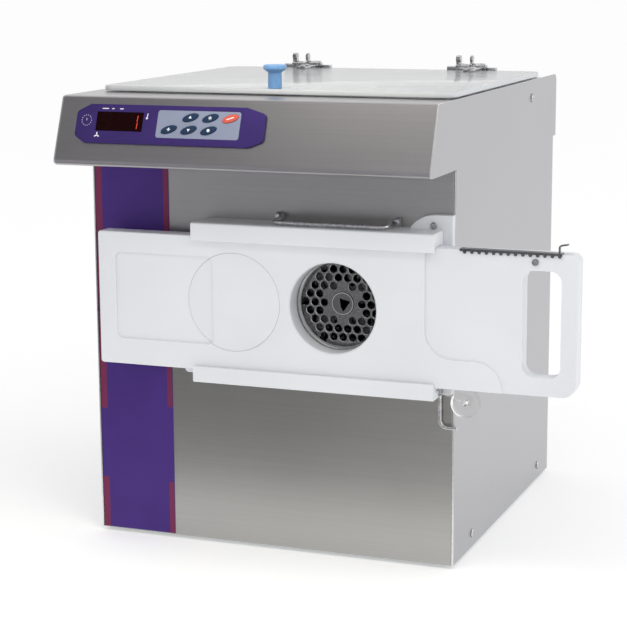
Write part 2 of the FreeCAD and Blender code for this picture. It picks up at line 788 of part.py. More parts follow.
def oval(u, v, n0, n1, grow):
    """Tilted elliptical key outline, from n0 to n1 above the fascia."""
    ellipse = Part.Ellipse(V(0, 0, n0), KEY_L / 2 + grow, KEY_W / 2 + grow)
    solid = Part.Face(Part.Wire([ellipse.toShape()])).extrude(V(0, 0, n1 - n0))
    solid.Placement = FreeCAD.Placement(V(u, v, 0), FreeCAD.Rotation(V(0, 0, 1), KEY_TILT))
    return solid


def keypad_plate():
    floor = BEZEL_T - KEYPAD_T
    plate = rounded_plate(
        KEYPAD_U[0] + 0.1, KEYPAD_U[1] - 0.1, KEYPAD_V[0] + 0.1, KEYPAD_V[1] - 0.1, 2.9, floor, KEYPAD_T,
    )
    for u, v in key_centres().values():
        plate = plate.cut(oval(u, v, floor - 1, BEZEL_T + 1, KEY_GAP))
    return on_slope(plate)


def key(u, v):
    """Key cap with a flange that stays behind the keypad plate."""
    floor = BEZEL_T - KEYPAD_T
    flange = oval(u, v, KEY_TRAVEL + 0.1, floor - 0.1, KEY_FLANGE)
    cap = oval(u, v, KEY_TRAVEL + 0.2, BEZEL_T + KEY_PROUD, 0.0)
    return on_slope(fused([flange, cap]))


def control_board():
    """Circuit board behind the fascia with the display module, key switches and spacers."""
    u0, u1 = BEZEL_U
    v0, v1 = BEZEL_V
    pieces = [box(u0 + 14, u1 - 18, v0 + 3, v1 - 3, -9, -7.4)]
    pieces.append(box(DISPLAY_U[0] + 4, DISPLAY_U[1] - 4, DISPLAY_V[0] + 3, DISPLAY_V[1] - 3, -7.4, -0.3))
    for u, v in key_centres().values():
        pieces.append(box(u - 3, u + 3, v - 3, v + 3, -7.4, -0.3))
    for u in (u0 + 18, u1 - 22):
        pieces.append(box(u - 3, u + 3, v0 + 8, v0 + 14, -7.4, -SHEET))
    return on_slope(fused(pieces))


def back_board():
    """White board behind the drawer block, with an ear at its upper right that has a round shoulder."""
    board = box(BLOCK_L, BOARD_R, -BOARD_T, 0, BLOCK_LOW, BLOCK_TOP)
    shoulder = cyl_y(-BOARD_T, 0, EAR_X, EAR_TOP - EAR_R, EAR_R)
    shoulder = shoulder.common(box(BLOCK_L, EAR_X, -BOARD_T, 0, EAR_TOP - EAR_R, EAR_TOP))
    ear = box(EAR_X, BOARD_R, -BOARD_T, 0, EAR_TOP - EAR_R, EAR_TOP)
    board = fused([board, shoulder, ear])
    board = board.cut(cyl_y(-BOARD_T - 1, 1, OUT_X, OUT_Z, RING_R + 1))
    board = board.cut(cyl_z(BLOCK_LOW - 1, BLOCK_LOW + 14, LOCK_X, LOCK_Y, LOCK_WIRE_R + RUN_FIT))
    screw_end = -BOARD_T + SCREW_LENGTH + 0.2
    return board.cut(cyl_y(-BOARD_T - 1, screw_end, *EAR_SCREW, SCREW_SHANK_R))


def guide_block():
    """C-shaped guide: web, upper and lower rails, and front lips that hold the drawer."""
    front = BLOCK_FRONT
    lip_back = front + LIP_T
    web_front = -BOARD_T - WEB_T
    low = DRAWER_LOW - SLIDE_GAP
    high = DRAWER_TOP + SLIDE_GAP
    outline = [
        V(BLOCK_L, front, BLOCK_LOW),
        V(BLOCK_L, front, low + LIP_OVERLAP),
        V(BLOCK_L, lip_back, low + LIP_OVERLAP),
        V(BLOCK_L, lip_back, low),
        V(BLOCK_L, web_front, low),
        V(BLOCK_L, web_front, high),
        V(BLOCK_L, lip_back, high),
        V(BLOCK_L, lip_back, high - LIP_OVERLAP),
        V(BLOCK_L, front, high - LIP_OVERLAP),
        V(BLOCK_L, front, BLOCK_TOP),
        V(BLOCK_L, -BOARD_T, BLOCK_TOP),
        V(BLOCK_L, -BOARD_T, BLOCK_LOW),
    ]
    radii = [2.0, 1.0, 0.0, 0.0, 0.0, 0.0, 0.0, 0.0, 1.0, 2.0, 0.0, 0.0]
    block = Part.Face(bent_wire(outline, radii, closed=True)).extrude(V(BLOCK_R - BLOCK_L, 0, 0))
    block = block.cut(cyl_y(web_front - 1, -BOARD_T + 1, OUT_X, OUT_Z, RING_R + 1))
    groove = box(BLOCK_L - 1, BLOCK_R + 1, -30.2, -19.8, low - WEAR_H, low + 0.1)
    return block.cut(groove)


def wear_strip():
    """Slippery strip in the lower rail, with a tongue that stands out at the left."""
    top = DRAWER_LOW - SLIDE_GAP
    low = top - WEAR_H
    left = BLOCK_L - WEAR_TONGUE
    strip = box(left, BLOCK_R - 2, -30, -20, low, top)
    corner = cyl_y(-31, -19, left + 4, low + 4, 4)
    wedge = box(left - 1, left + 4, -31, -19, low - 1, low + 4)
    return strip.cut(wedge.cut(corner))


def drawer():
    """Sliding drawer: outlet hole, mould, paper recess, S-shaped step and handle slot."""
    y0 = DRAWER_FRONT
    y1 = y0 + DRAWER_T
    radii = [3.0, 14.0, 8.0, 3.0]
    body = front_plate(DRAWER_L, DRAWER_R, DRAWER_LOW, DRAWER_TOP, radii, y0, DRAWER_T)
    body = body.makeFillet(DRAWER_EDGE, [edge for edge in body.Edges if edge.BoundBox.YMax < y0 + 0.1])
    body = body.cut(cyl_y(y0 - 1, y1 + 1, OUT_X, OUT_Z, DRAWER_HOLE_R))
    bevel = Part.makeCone(DRAWER_HOLE_R + 1.6, DRAWER_HOLE_R, 1.6, V(OUT_X, y0, OUT_Z), V(0, 1, 0))
    body = body.cut(bevel)
    body = body.cut(cyl_y(y0 + MOULD_LIP, y1 + 1, MOULD_X, MOULD_Z, MOULD_R))
    body = body.cut(cyl_y(y0 - 1, y1 + 1, MOULD_X, MOULD_Z, MOULD_LIP_R))
    body = body.cut(paper_recess())
    x0, x1, z0, z1 = HANDLE_SLOT
    slot = front_plate(x0, x1, z0, z1, SLOT_CORNER, y0 - 1, DRAWER_T + 2)
    body = body.cut(slot)
    step_mid_x = STEP_X + STEP_R
    outline = [
        V(STEP_X, y0, DRAWER_TOP + 5),
        V(STEP_X, y0, STEP_MID_Z),
        V(STEP_END_X, y0, STEP_MID_Z),
        V(STEP_END_X, y0, DRAWER_LOW - 5),
        V(DRAWER_R + 5, y0, DRAWER_LOW - 5),
        V(DRAWER_R + 5, y0, DRAWER_TOP + 5),
    ]
    bends = [0.0, STEP_R, min(STEP_R, STEP_END_X - step_mid_x - 1), 0.0, 0.0, 0.0]
    step = Part.Face(bent_wire(outline, bends, closed=True)).extrude(V(0, STEP_DEPTH, 0))
    body = body.cut(step)
    rebate = box(BLOCK_R + 2, RACK_R + 9, y0, -24.0, DRAWER_TOP - 0.4, DRAWER_TOP + 1)
    body = body.cut(rebate)
    hole = cyl_y(y0 - 1, y0 + STEP_DEPTH + SCREW_LENGTH + 0.2, *DRAWER_SCREW, SCREW_SHANK_R)
    return body.cut(hole)


def paper_recess():
    """Shallow rectangle for the paper, milled over the drawer's face and a part of the disc's face."""
    x0, x1, z0, z1 = RECESS
    return front_plate(x0, x1, z0, z1, RECESS_CORNER, DRAWER_FRONT - 1, RECESS_DEPTH + 1)


def mould_disc():
    """Ejector disc: a flange that stops against the mould's lip, and a face flush with the drawer's."""
    y0 = DRAWER_FRONT + MOULD_LIP
    disc = cyl_y(y0, y0 + DISC_T, MOULD_X, MOULD_Z, MOULD_R - DISC_GAP)
    disc = disc.fuse(cyl_y(DRAWER_FRONT, y0 + 1, MOULD_X, MOULD_Z, MOULD_LIP_R - DISC_GAP))
    disc = disc.removeSplitter().cut(paper_recess())
    bevel = revolve_y(
        [
            (MOULD_R - DISC_GAP - 1.5, y0 + DISC_T),
            (MOULD_R - DISC_GAP + 1, y0 + DISC_T - 2.5),
            (MOULD_R - DISC_GAP + 1, y0 + DISC_T),
        ],
        MOULD_X, MOULD_Z,
    )
    return disc.cut(bevel)


def adjusting_rack():
    """Notched rack on the drawer's top edge, with a bent finger tab at its right end."""
    top = DRAWER_TOP - 0.4
    step_front = DRAWER_FRONT + STEP_DEPTH
    leaf_front = step_front - 0.2 - RACK_T
    leaf = box(RACK_L, RACK_R, leaf_front, -26.0, top, top + RACK_T)
    count = int((RACK_R - RACK_L) / RACK_PITCH)
    pitch = (RACK_R - RACK_L) / count
    root = top - 1.0
    teeth = [V(RACK_L, leaf_front, top + RACK_T), V(RACK_L, leaf_front, root)]
    for i in range(count):
        x = RACK_L + i * pitch
        teeth.append(V(x + 0.45 * pitch, leaf_front, root))
        teeth.append(V(x + 0.55 * pitch, leaf_front, top - RACK_DROP + 1))
        teeth.append(V(x + 0.85 * pitch, leaf_front, top - RACK_DROP + 1))
        teeth.append(V(x + pitch, leaf_front, root))
    teeth.append(V(RACK_R, leaf_front, top + RACK_T))
    comb = prism(teeth, V(0, RACK_T, 0))
    tab_path = [
        V(RACK_R - 2, leaf_front, top),
        V(RACK_R - 2, leaf_front, top + 8.0),
        V(RACK_R + 6, leaf_front, top + 9.5),
    ]
    tab_strip = bent_wire(tab_path, 1.5).makeOffset2D(RACK_T, 0, True, True)
    tab = tab_strip.extrude(V(0, 5.0, 0))
    return fused([leaf, comb, tab])


def carry_handle():
    """Bail that lies forward on the block and swings up to lift the block off."""
    left = BAIL_LEFT
    right = BAIL_RIGHT
    y0 = BAIL_PIVOT_Y
    z0 = BAIL_PIVOT_Z
    z1 = BLOCK_TOP + BAIL_WIRE_R + 0.3
    path = [
        V(left - 6, y0, z0),
        V(left + 3, y0, z0),
        V(left, y0 - BAIL_REACH, z1),
        V(right, y0 - BAIL_REACH, z1),
        V(right - 3, y0, z0),
        V(right + 6, y0, z0),
    ]
    return rod(path, [0, 5.0, 7.0, 7.0, 5.0, 0], BAIL_WIRE_R)


def handle_lugs():
    """Two eye lugs that stand on the back board and hold the carry handle."""
    lugs = []
    for x in (BAIL_LEFT - 6, BAIL_RIGHT + 2):
        plate = box(x, x + LUG_T, BAIL_PIVOT_Y - LUG_R, BAIL_PIVOT_Y + LUG_R, BLOCK_TOP, BAIL_PIVOT_Z)
        eye = cyl_x(x, x + LUG_T, BAIL_PIVOT_Y, BAIL_PIVOT_Z, LUG_R)
        lug = fused([plate, eye])
        hole = cyl_x(x - 1, x + LUG_T + 1, BAIL_PIVOT_Y, BAIL_PIVOT_Z, BAIL_WIRE_R + RUN_FIT)
        lugs.append(lug.cut(hole))
    return Part.makeCompound(lugs)


def lock_wire():
    """Bent wire that turns in the back board and keeps the block from dropping."""
    path = [
        V(LOCK_X, LOCK_Y, BLOCK_LOW + 13),
        V(LOCK_X, LOCK_Y, LOCK_LOW),
        V(LOCK_X + LOCK_FOOT, LOCK_Y, LOCK_LOW),
    ]
    return rod(path, 8.0, LOCK_WIRE_R)


def support_roller():
    """Clear roller under the drawer, with a grooved face."""
    y0 = ROLLER_Y
    y1 = ROLLER_Y + ROLLER_W
    profile = [
        (ROLLER_PIN_R + RUN_FIT, y0),
        (5.5, y0),
        (6.5, y0 + 1.2),
        (ROLLER_R - 2.5, y0 + 1.2),
        (ROLLER_R - 1.5, y0),
        (ROLLER_R - 0.6, y0),
        (ROLLER_R, y0 + 0.6),
        (ROLLER_R, y1 - 0.6),
        (ROLLER_R - 0.6, y1),
        (ROLLER_PIN_R + RUN_FIT, y1),
    ]
    return revolve_y(profile, ROLLER_X, roller_z())


def roller_z():
    return DRAWER_LOW - SLIDE_GAP - ROLLER_R


def roller_arm():
    """Arm on the block's right face that carries the roller's pin."""
    z = roller_z()
    foot = box(BLOCK_R, BLOCK_R + 2, -24.0, -11.0, BLOCK_LOW + 2, DRAWER_LOW - 2)
    outline = [
        V(BLOCK_R, -14.0, DRAWER_LOW - 2),
        V(BLOCK_R, -14.0, BLOCK_LOW + 2),
        V(ROLLER_X, -14.0, z - ROLLER_EYE_R),
        V(ROLLER_X, -14.0, z + ROLLER_EYE_R),
    ]
    web = Part.Face(Part.makePolygon(outline + outline[:1])).extrude(V(0, 3.0, 0))
    eye = cyl_y(-14.0, -11.0, ROLLER_X, z, ROLLER_EYE_R)
    pin = cyl_y(ROLLER_Y - 1.8, -11.0, ROLLER_X, z, ROLLER_PIN_R)
    collar = cyl_y(ROLLER_Y + ROLLER_W + 0.3, -11.0, ROLLER_X, z, ROLLER_PIN_R + 1.2)
    return fused([foot, web, eye, pin, collar])


def ring_nut():
    """Ring that clamps the perforated plate on the barrel, with a bright bevelled mouth."""
    front = RING_FRONT
    back = RING_FRONT + RING_LENGTH
    profile = [
        (RING_LIP_R + RING_CHAMFER, front),
        (RING_R - 1, front),
        (RING_R, front + 1),
        (RING_R, back),
        (NOSE_R + RUN_FIT, back),
        (NOSE_R + RUN_FIT, PLATE_Y),
        (RING_LIP_R, PLATE_Y),
        (RING_LIP_R, front + RING_CHAMFER),
    ]
    ring = revolve_y(profile, OUT_X, OUT_Z)
    for i in range(RING_GRIPS):
        angle = math.radians(i * 360.0 / RING_GRIPS + 20)
        x = OUT_X + (RING_R + 4.0) * math.cos(angle)
        z = OUT_Z + (RING_R + 4.0) * math.sin(angle)
        ring = ring.cut(cyl_y(front + 10, back + 1, x, z, 6.0))
    return ring


def perforated_plate():
    """Plate with a hexagonal field of holes round the worm's journal."""
    plate = cyl_y(PLATE_Y, PLATE_Y + PLATE_T, OUT_X, OUT_Z, PLATE_R)
    tools = [cyl_y(PLATE_Y - 1, PLATE_Y + PLATE_T + 1, OUT_X, OUT_Z, JOURNAL_R + RUN_FIT)]
    inner = JOURNAL_R + HOLE_R + 2.5
    outer = RING_LIP_R + 0.6 * HOLE_R
    reach = int(outer / HOLE_PITCH) + 2
    row_step = HOLE_PITCH * math.sqrt(3) / 2
    for row in range(-reach, reach + 1):
        for column in range(-reach, reach + 1):
            dx = (column + 0.5 * (row % 2)) * HOLE_PITCH
            dz = row * row_step
            distance = math.hypot(dx, dz)
            if inner <= distance <= min(outer, PLATE_R - HOLE_R - 1):
                x = OUT_X + dx
                z = OUT_Z + dz
                tools.append(cyl_y(PLATE_Y - 1, PLATE_Y + PLATE_T + 1, x, z, HOLE_R))
    return plate.cut(Part.makeCompound(tools))


def knife():
    """Four-arm knife with raked arms on the worm's square."""
    y0 = PLATE_Y + PLATE_T + 0.3
    hub = cyl_y(y0, y0 + KNIFE_T, OUT_X, OUT_Z, KNIFE_HUB_R)
    arms = []
    for i in range(4):
        outline = [
            V(6.0, 0, -7.0),
            V(KNIFE_R - 4, 0, -9.5),
            V(KNIFE_R, 0, -6.0),
            V(KNIFE_R - 0.5, 0, 3.0),
            V(KNIFE_HUB_R + 8, 0, 4.5),
            V(6.0, 0, 9.0),
        ]
        arm = prism(outline, V(0, KNIFE_T * 0.8, 0))
        back = prism([V(0, 6.0, 4.0), V(0, 12.0, 12.0), V(0, 12.0, -4.0)], V(KNIFE_R + 2, 0, 0))
        arm = arm.cut(back)
        arm.rotate(V(0, 0, 0), V(0, 1, 0), 45 + i * 90.0)
        arm.translate(V(OUT_X, y0, OUT_Z))
        arms.append(arm)
    blade = fused([hub] + arms)
    half = SQUARE / 2 + 0.1
    return blade.cut(box(OUT_X - half, OUT_X + half, y0 - 1, y0 + KNIFE_T + 1, OUT_Z - half, OUT_Z + half))


def worm():
    """Feed worm: tapered core, helical flight, front journal, knife square and drive tang."""
    square_start = PLATE_Y + PLATE_T + 0.3
    square_end = square_start + KNIFE_T
    core = revolve_y(
        [
            (0, square_end),
            (CORE_FRONT_R, square_end),
            (CORE_REAR_R, BARREL_END - 8),
            (FLIGHT_R - 0.5, BARREL_END - 6),
            (FLIGHT_R - 0.5, BARREL_END - 1),
            (REAR_JOURNAL_R, BARREL_END - 1),
            (REAR_JOURNAL_R, GEARBOX_FRONT + GEARBOX_WALL + 2),
            (0, GEARBOX_FRONT + GEARBOX_WALL + 2),
        ],
        OUT_X, OUT_Z,
    )
    half = SQUARE / 2
    square = box(OUT_X - half, OUT_X + half, square_start, square_end + 1, OUT_Z - half, OUT_Z + half)
    journal = cyl_y(PLATE_Y - 0.8, square_start, OUT_X, OUT_Z, JOURNAL_R)
    groove = prism(
        [V(-3.0, 0, 5.5), V(8.5, 0, 2.5), V(1.0, 0, -8.0), V(-2.0, 0, -3.0)], V(0, 3.0, 0),
    )
    groove.translate(V(OUT_X, PLATE_Y - 0.9, OUT_Z))
    journal = journal.cut(groove)
    tang_half = TANG_AF / 2
    tang_start = GEARBOX_FRONT + GEARBOX_WALL + 2
    tang = box(OUT_X - tang_half, OUT_X + tang_half, tang_start, tang_start + 20, OUT_Z - 7, OUT_Z + 7)
    start = square_end + 4
    height = FLIGHT_PITCH * FLIGHT_TURNS
    helix = Part.makeHelix(FLIGHT_PITCH, height, CORE_FRONT_R)
    section = Part.makePolygon(
        [
            V(CORE_FRONT_R - 2, 0, -3.6),
            V(FLIGHT_R, 0, -1.8),
            V(FLIGHT_R, 0, 1.8),
            V(CORE_FRONT_R - 2, 0, 3.6),
            V(CORE_FRONT_R - 2, 0, -3.6),
        ],
    )
    flight = Part.Wire(helix.Edges).makePipeShell([section], True, True)
    flight.rotate(V(0, 0, 0), V(1, 0, 0), -90)
    flight.translate(V(OUT_X, start, OUT_Z))
    return fused([core, square, journal, tang, flight])


def grinder_barrel():
    """Barrel casting: plate seat, worm bore, feed neck and rear flange."""
    nose_front = PLATE_Y + 0.5
    profile = [
        (PLATE_R + 0.1, nose_front),
        (NOSE_R, nose_front),
        (NOSE_R, RING_FRONT + RING_LENGTH + 1),
        (NOSE_R + 5, RING_FRONT + RING_LENGTH + 4),
        (NOSE_R + 5, RING_FRONT + RING_LENGTH + 8),
        (BARREL_R, RING_FRONT + RING_LENGTH + 12),
        (BARREL_R, BARREL_END - 6),
        (BARREL_R + 14, BARREL_END),
        (BARREL_R + 14, BARREL_END + BARREL_WALL),
        (REAR_JOURNAL_R + RUN_FIT, BARREL_END + BARREL_WALL),
        (REAR_JOURNAL_R + RUN_FIT, BARREL_END),
        (BORE_R, BARREL_END),
        (BORE_R, PLATE_Y + PLATE_T + KNIFE_T + 1),
        (KNIFE_R + 1, PLATE_Y + PLATE_T + KNIFE_T + 1),
        (KNIFE_R + 1, PLATE_Y + PLATE_T),
        (PLATE_R + 0.1, PLATE_Y + PLATE_T),
    ]
    barrel = revolve_y(profile, OUT_X, OUT_Z)
    neck_r = THROAT_R + THROAT_WALL
    neck = cyl_z(OUT_Z + 20, NECK_Z - 6, OUT_X, THROAT_Y, neck_r)
    flange = cyl_z(NECK_Z - 6, NECK_Z, OUT_X, THROAT_Y, neck_r + 6)
    neck = fused([neck, flange]).cut(cyl_y(-10, BARREL_END, OUT_X, OUT_Z, BORE_R + 1))
    barrel = fused([barrel, neck])
    return barrel.cut(cyl_z(OUT_Z, NECK_Z + 1, OUT_X, THROAT_Y, THROAT_R))


def pinion_z():
    return OUT_Z - MODULE * (GEAR_TEETH + PINION_TEETH) / 2


def gearbox_outline(grow, y0, y1):
    """Casing outline round both gears: two round ends joined by straight flanks."""
    r_big = MODULE * (GEAR_TEETH / 2 + 1) + 5 + grow
    r_small = MODULE * (PINION_TEETH / 2 + 1) + 9 + grow
    z_small = pinion_z()
    span = OUT_Z - z_small
    lean = math.asin((r_big - r_small) / span)
    points = []
    ends = [(1, OUT_Z, r_big), (1, z_small, r_small), (-1, z_small, r_small), (-1, OUT_Z, r_big)]
    for side, z, r in ends:
        points.append(V(OUT_X + side * r * math.cos(lean), y0, z - r * math.sin(lean)))
    flanks = prism(points, V(0, y1 - y0, 0))
    return fused([cyl_y(y0, y1, OUT_X, OUT_Z, r_big), cyl_y(y0, y1, OUT_X, z_small, r_small), flanks])


def gearbox_housing():
    """Cast gear case, open at the rear, with a spigot for the barrel's flange."""
    y0 = GEARBOX_FRONT
    y1 = y0 + GEARBOX_DEPTH
    case = gearbox_outline(GEARBOX_WALL, y0, y1)
    case = case.cut(gearbox_outline(0, y0 + GEARBOX_WALL, y1 + 1))
    case = case.cut(cyl_y(y0 - 1, y0 + GEARBOX_WALL + 1, OUT_X, OUT_Z, REAR_JOURNAL_R + 2))
    return case


def gearbox_cover():
    """Rear cover with bosses for the gear's bearing and the motor shaft."""
    y0 = GEARBOX_FRONT + GEARBOX_DEPTH
    cover = gearbox_outline(GEARBOX_WALL, y0, y0 + COVER_T)
    cover = cover.cut(cyl_y(y0 - 1, y0 + COVER_T - 2, OUT_X, OUT_Z, HUB_END_R + RUN_FIT))
    return cover.cut(cyl_y(y0 - 1, y0 + COVER_T + 1, OUT_X, pinion_z(), SHAFT_R + 1.0))


def gear_teeth(count, y0, width, phase):
    """Spur gear blank with involute-like flanks, centred on the Y axis."""
    pitch_r = MODULE * count / 2
    tip_r = pitch_r + 0.85 * MODULE
    root_r = pitch_r - 1.15 * MODULE
    pressure = math.radians(20)
    base_r = pitch_r * math.cos(pressure)
    half_pitch = math.pi / (2 * count) - GEAR_BACKLASH / (2 * pitch_r)

    def involute(angle):
        return math.tan(angle) - angle

    points = []
    for tooth in range(count):
        centre = phase + 2 * math.pi * tooth / count
        flank = []
        for share in (0.0, 0.5, 1.0):
            r = max(base_r, root_r) + share * (tip_r - max(base_r, root_r))
            spread = half_pitch + involute(pressure) - involute(math.acos(min(1.0, base_r / r)))
            flank.append((r, spread))
        points.append((root_r, centre - flank[0][1] - 0.01))
        points += [(r, centre - spread) for r, spread in flank]
        points += [(r, centre + spread) for r, spread in reversed(flank)]
        points.append((root_r, centre + flank[0][1] + 0.01))
    corners = [V(r * math.cos(a), y0, r * math.sin(a)) for r, a in points]
    return prism(corners, V(0, width, 0))


def output_gear():
    """Large gear on a hub that takes the worm's tang, with one tooth straight down."""
    y0 = GEARBOX_FRONT + GEARBOX_WALL + 6
    gear = gear_teeth(GEAR_TEETH, y0, GEAR_WIDTH, -math.pi / 2)
    gear.translate(V(OUT_X, 0, OUT_Z))
    hub = cyl_y(y0 - 3, y0 + GEAR_WIDTH + 3, OUT_X, OUT_Z, HUB_R)
    gear = fused([gear, hub])
    for i in range(6):
        angle = math.radians(i * 60.0)
        x = OUT_X + 38 * math.cos(angle)
        z = OUT_Z + 38 * math.sin(angle)
        gear = gear.cut(cyl_y(y0 - 1, y0 + GEAR_WIDTH + 1, x, z, 8.0))
    half = TANG_AF / 2 + 0.1
    slot = box(OUT_X - half, OUT_X + half, y0 - 4, y0 + GEAR_WIDTH + 4, OUT_Z - 7.1, OUT_Z + 7.1)
    gear = gear.cut(slot)
    end = cyl_y(y0 + GEAR_WIDTH, MOTOR_FRONT - 2.5, OUT_X, OUT_Z, HUB_END_R)
    return fused([gear, end])


def motor_shaft():
    """Motor shaft with the pinion cut on its front end and the rotor inside the motor."""
    y0 = GEARBOX_FRONT + GEARBOX_WALL + 6
    motor_y = MOTOR_FRONT
    phase = math.pi / 2 + math.pi / PINION_TEETH
    pinion = gear_teeth(PINION_TEETH, y0, GEAR_WIDTH, phase)
    pinion.translate(V(OUT_X, 0, pinion_z()))
    shaft = cyl_y(y0, motor_y + MOTOR_LENGTH - 10, OUT_X, pinion_z(), SHAFT_R)
    rotor = cyl_y(motor_y + 25, motor_y + MOTOR_LENGTH - 25, OUT_X, pinion_z(), MOTOR_R * 0.55)
    return fused([pinion, shaft, rotor])


def motor():
    """Motor casing: ribbed body, end bells and the hollow for the rotor."""
    y0 = MOTOR_FRONT
    y1 = y0 + MOTOR_LENGTH
    z = pinion_z()
    body = cyl_y(y0 + 12, y1 - 12, OUT_X, z, MOTOR_R - 5)
    bells = [
        Part.makeCone(MOTOR_R - 14, MOTOR_R, 12, V(OUT_X, y0, z), V(0, 1, 0)),
        Part.makeCone(MOTOR_R, MOTOR_R - 14, 12, V(OUT_X, y1 - 12, z), V(0, 1, 0)),
    ]
    ribs = []
    for i in range(20):
        angle = i * 18.0
        rib = box(OUT_X - 1.5, OUT_X + 1.5, y0 + 12, y1 - 12, z + MOTOR_R - 8, z + MOTOR_R)
        rib.rotate(V(OUT_X, 0, z), V(0, 1, 0), angle)
        ribs.append(rib)
    casing = fused([body] + bells + ribs)
    hollow = cyl_y(y0 + 20, y1 - 20, OUT_X, z, MOTOR_R * 0.55 + 1.5)
    bore = cyl_y(y0 - 1, y1 - 8, OUT_X, z, SHAFT_R + RUN_FIT)
    return casing.cut(hollow).cut(bore)


def motor_stand():
    """Folded cradle under the motor, standing on the base pan."""
    y0 = MOTOR_FRONT + 30
    y1 = y0 + MOTOR_LENGTH - 60
    z = pinion_z()
    half = 44.0
    top = z - MOTOR_R - STAND_T - 0.5
    path = [
        V(OUT_X - half - 16, y0, SHEET),
        V(OUT_X - half, y0, SHEET),
        V(OUT_X - half, y0, top),
        V(OUT_X + half, y0, top),
        V(OUT_X + half, y0, SHEET),
        V(OUT_X + half + 16, y0, SHEET),
    ]
    legs = bent_wire(path, 3.5).makeOffset2D(STAND_T, 0, True, True)
    if legs.BoundBox.ZMin < SHEET - 0.1:
        legs = bent_wire(path, 3.5).makeOffset2D(-STAND_T, 0, True, True)
    stand = legs.extrude(V(0, y1 - y0, 0))
    level = stand.BoundBox.ZMax
    saddles = []
    for y in (y0, y1 - SADDLE_T):
        block = box(OUT_X - half + 4, OUT_X + half - 4, y, y + SADDLE_T, level, z - MOTOR_R / 2)
        saddles.append(block.cut(cyl_y(y - 1, y + SADDLE_T + 1, OUT_X, z, MOTOR_R + RUN_FIT)))
    return fused([stand] + saddles)


def compressor():
    """Sealed compressor: domed two-part shell with its weld rim, feet plate and stubs."""
    z0 = SHEET + 8
    z1 = z0 + COMP_H
    r = COMP_R
    profile = [
        (0, z0),
        (r - 18, z0),
        (r - 6, z0 + 6),
        (r, z0 + 18),
        (r, z0 + 78),
        (r + 4, z0 + 78),
        (r + 4, z0 + 84),
        (r - 1, z0 + 84),
        (r - 3, z1 - 30),
        (r - 14, z1 - 12),
        (r - 34, z1 - 2),
        (0, z1),
    ]
    shell = revolve_z(profile, COMP_X, COMP_Y)
    plate = rounded_plate(COMP_X - 82, COMP_X + 82, COMP_Y - 58, COMP_Y + 58, 14, SHEET + 5, 3.5)
    pieces = [shell, plate]
    for x in (-68, 68):
        for y in (-46, 46):
            pieces.append(cyl_z(SHEET, SHEET + 6, COMP_X + x, COMP_Y + y, 9))
    for x, y in STUBS:
        pieces.append(cyl_z(z1 - 20, stub_top(), COMP_X + x, COMP_Y + y, TUBE_R + 0.5))
    return fused(pieces)


def stub_top():
    """Height where the compressor's two stubs end and the pipes begin."""
    return SHEET + 8 + COMP_H + 8


def condenser():
    """Finned block with end plates and return bends at its right side."""
    x0, x1 = COND_X
    y0, y1 = COND_Y
    z0, z1 = COND_Z
    block = box(x0, x1, y0, y1, z0, z1)
    count = int((x1 - x0 - FIN_PITCH) / FIN_PITCH)
    gaps = []
    for i in range(count):
        x = x0 + (i + 0.8) * FIN_PITCH
        gaps.append(box(x, x + 0.7 * FIN_PITCH, y0 - 1, y0 + 11, z0 + 5, z1 - 5))
    block = block.cut(Part.makeCompound(gaps))
    bends = []
    bend_y = (y0 + y1) / 2 + TUBE_R
    for i in range(int((z1 - z0 - BEND_PITCH / 2) / BEND_PITCH)):
        z = z0 + BEND_PITCH * (i + 2.0 / 3.0)
        ring = Part.makeTorus(BEND_R, TUBE_R, V(x1, bend_y, z), V(0, 1, 0), 0, 360, 180)
        ring.rotate(V(x1, bend_y, z), V(0, 1, 0), 90)
        bends.append(ring)
    foot = box(x0, x1, y0 + 4, y1 - 4, SHEET, z0 + 1)
    foot = foot.cut(box(x0 + 20, x1 - 20, y0, y1, SHEET + 3, z0 - 4))
    return fused([block, foot] + bends)


def fan_shroud():
    """Square shroud plate in front of the condenser with the fan's ring."""
    y0 = COND_Y[0] - 8
    plate = front_plate(COND_X[0], COND_X[1], COND_Z[0], COND_Z[1], 4.0, y0 + 6.5, 1.5)
    ring = cyl_y(FAN_Y - 2, COND_Y[0], FAN_X, FAN_Z, FAN_R + 4)
    shroud = fused([plate, ring])
    return shroud.cut(cyl_y(FAN_Y - 3, COND_Y[0] + 1, FAN_X, FAN_Z, FAN_R + 2))


def fan_rotor():
    """Fan with twisted blades on a domed hub."""
    hub = cyl_y(FAN_Y, FAN_Y + FAN_W, FAN_X, FAN_Z, FAN_HUB_R)
    blades = []
    root_r = FAN_HUB_R - 2
    root_half = 0.56 * FAN_HUB_R
    tip_r = FAN_R - 1
    tip_half = 0.24 * FAN_R
    skin = 0.11 * FAN_W
    for i in range(FAN_BLADES):
        ends = []
        for r, half, low, high in (
            (root_r, root_half, 0.11 * FAN_W, 0.83 * FAN_W),
            (tip_r, tip_half, 0.28 * FAN_W, 0.61 * FAN_W),
        ):
            corners = [V(r, low, -half), V(r, high, half), V(r, high + skin, half), V(r, low + skin, -half)]
            ends.append(Part.makePolygon(corners + corners[:1]))
        blade = Part.makeLoft(ends, True, True)
        blade.rotate(V(0, 0, 0), V(0, 1, 0), i * 360.0 / FAN_BLADES)
        blade.translate(V(FAN_X, FAN_Y, FAN_Z))
        blades.append(blade)
    fan = fused([hub] + blades)
    fan = fan.common(cyl_y(FAN_Y - 1, FAN_Y + FAN_W + 1, FAN_X, FAN_Z, FAN_R))
    return fan.cut(cyl_y(FAN_Y - 1, FAN_Y + FAN_W - 4, FAN_X, FAN_Z, 3 + RUN_FIT))


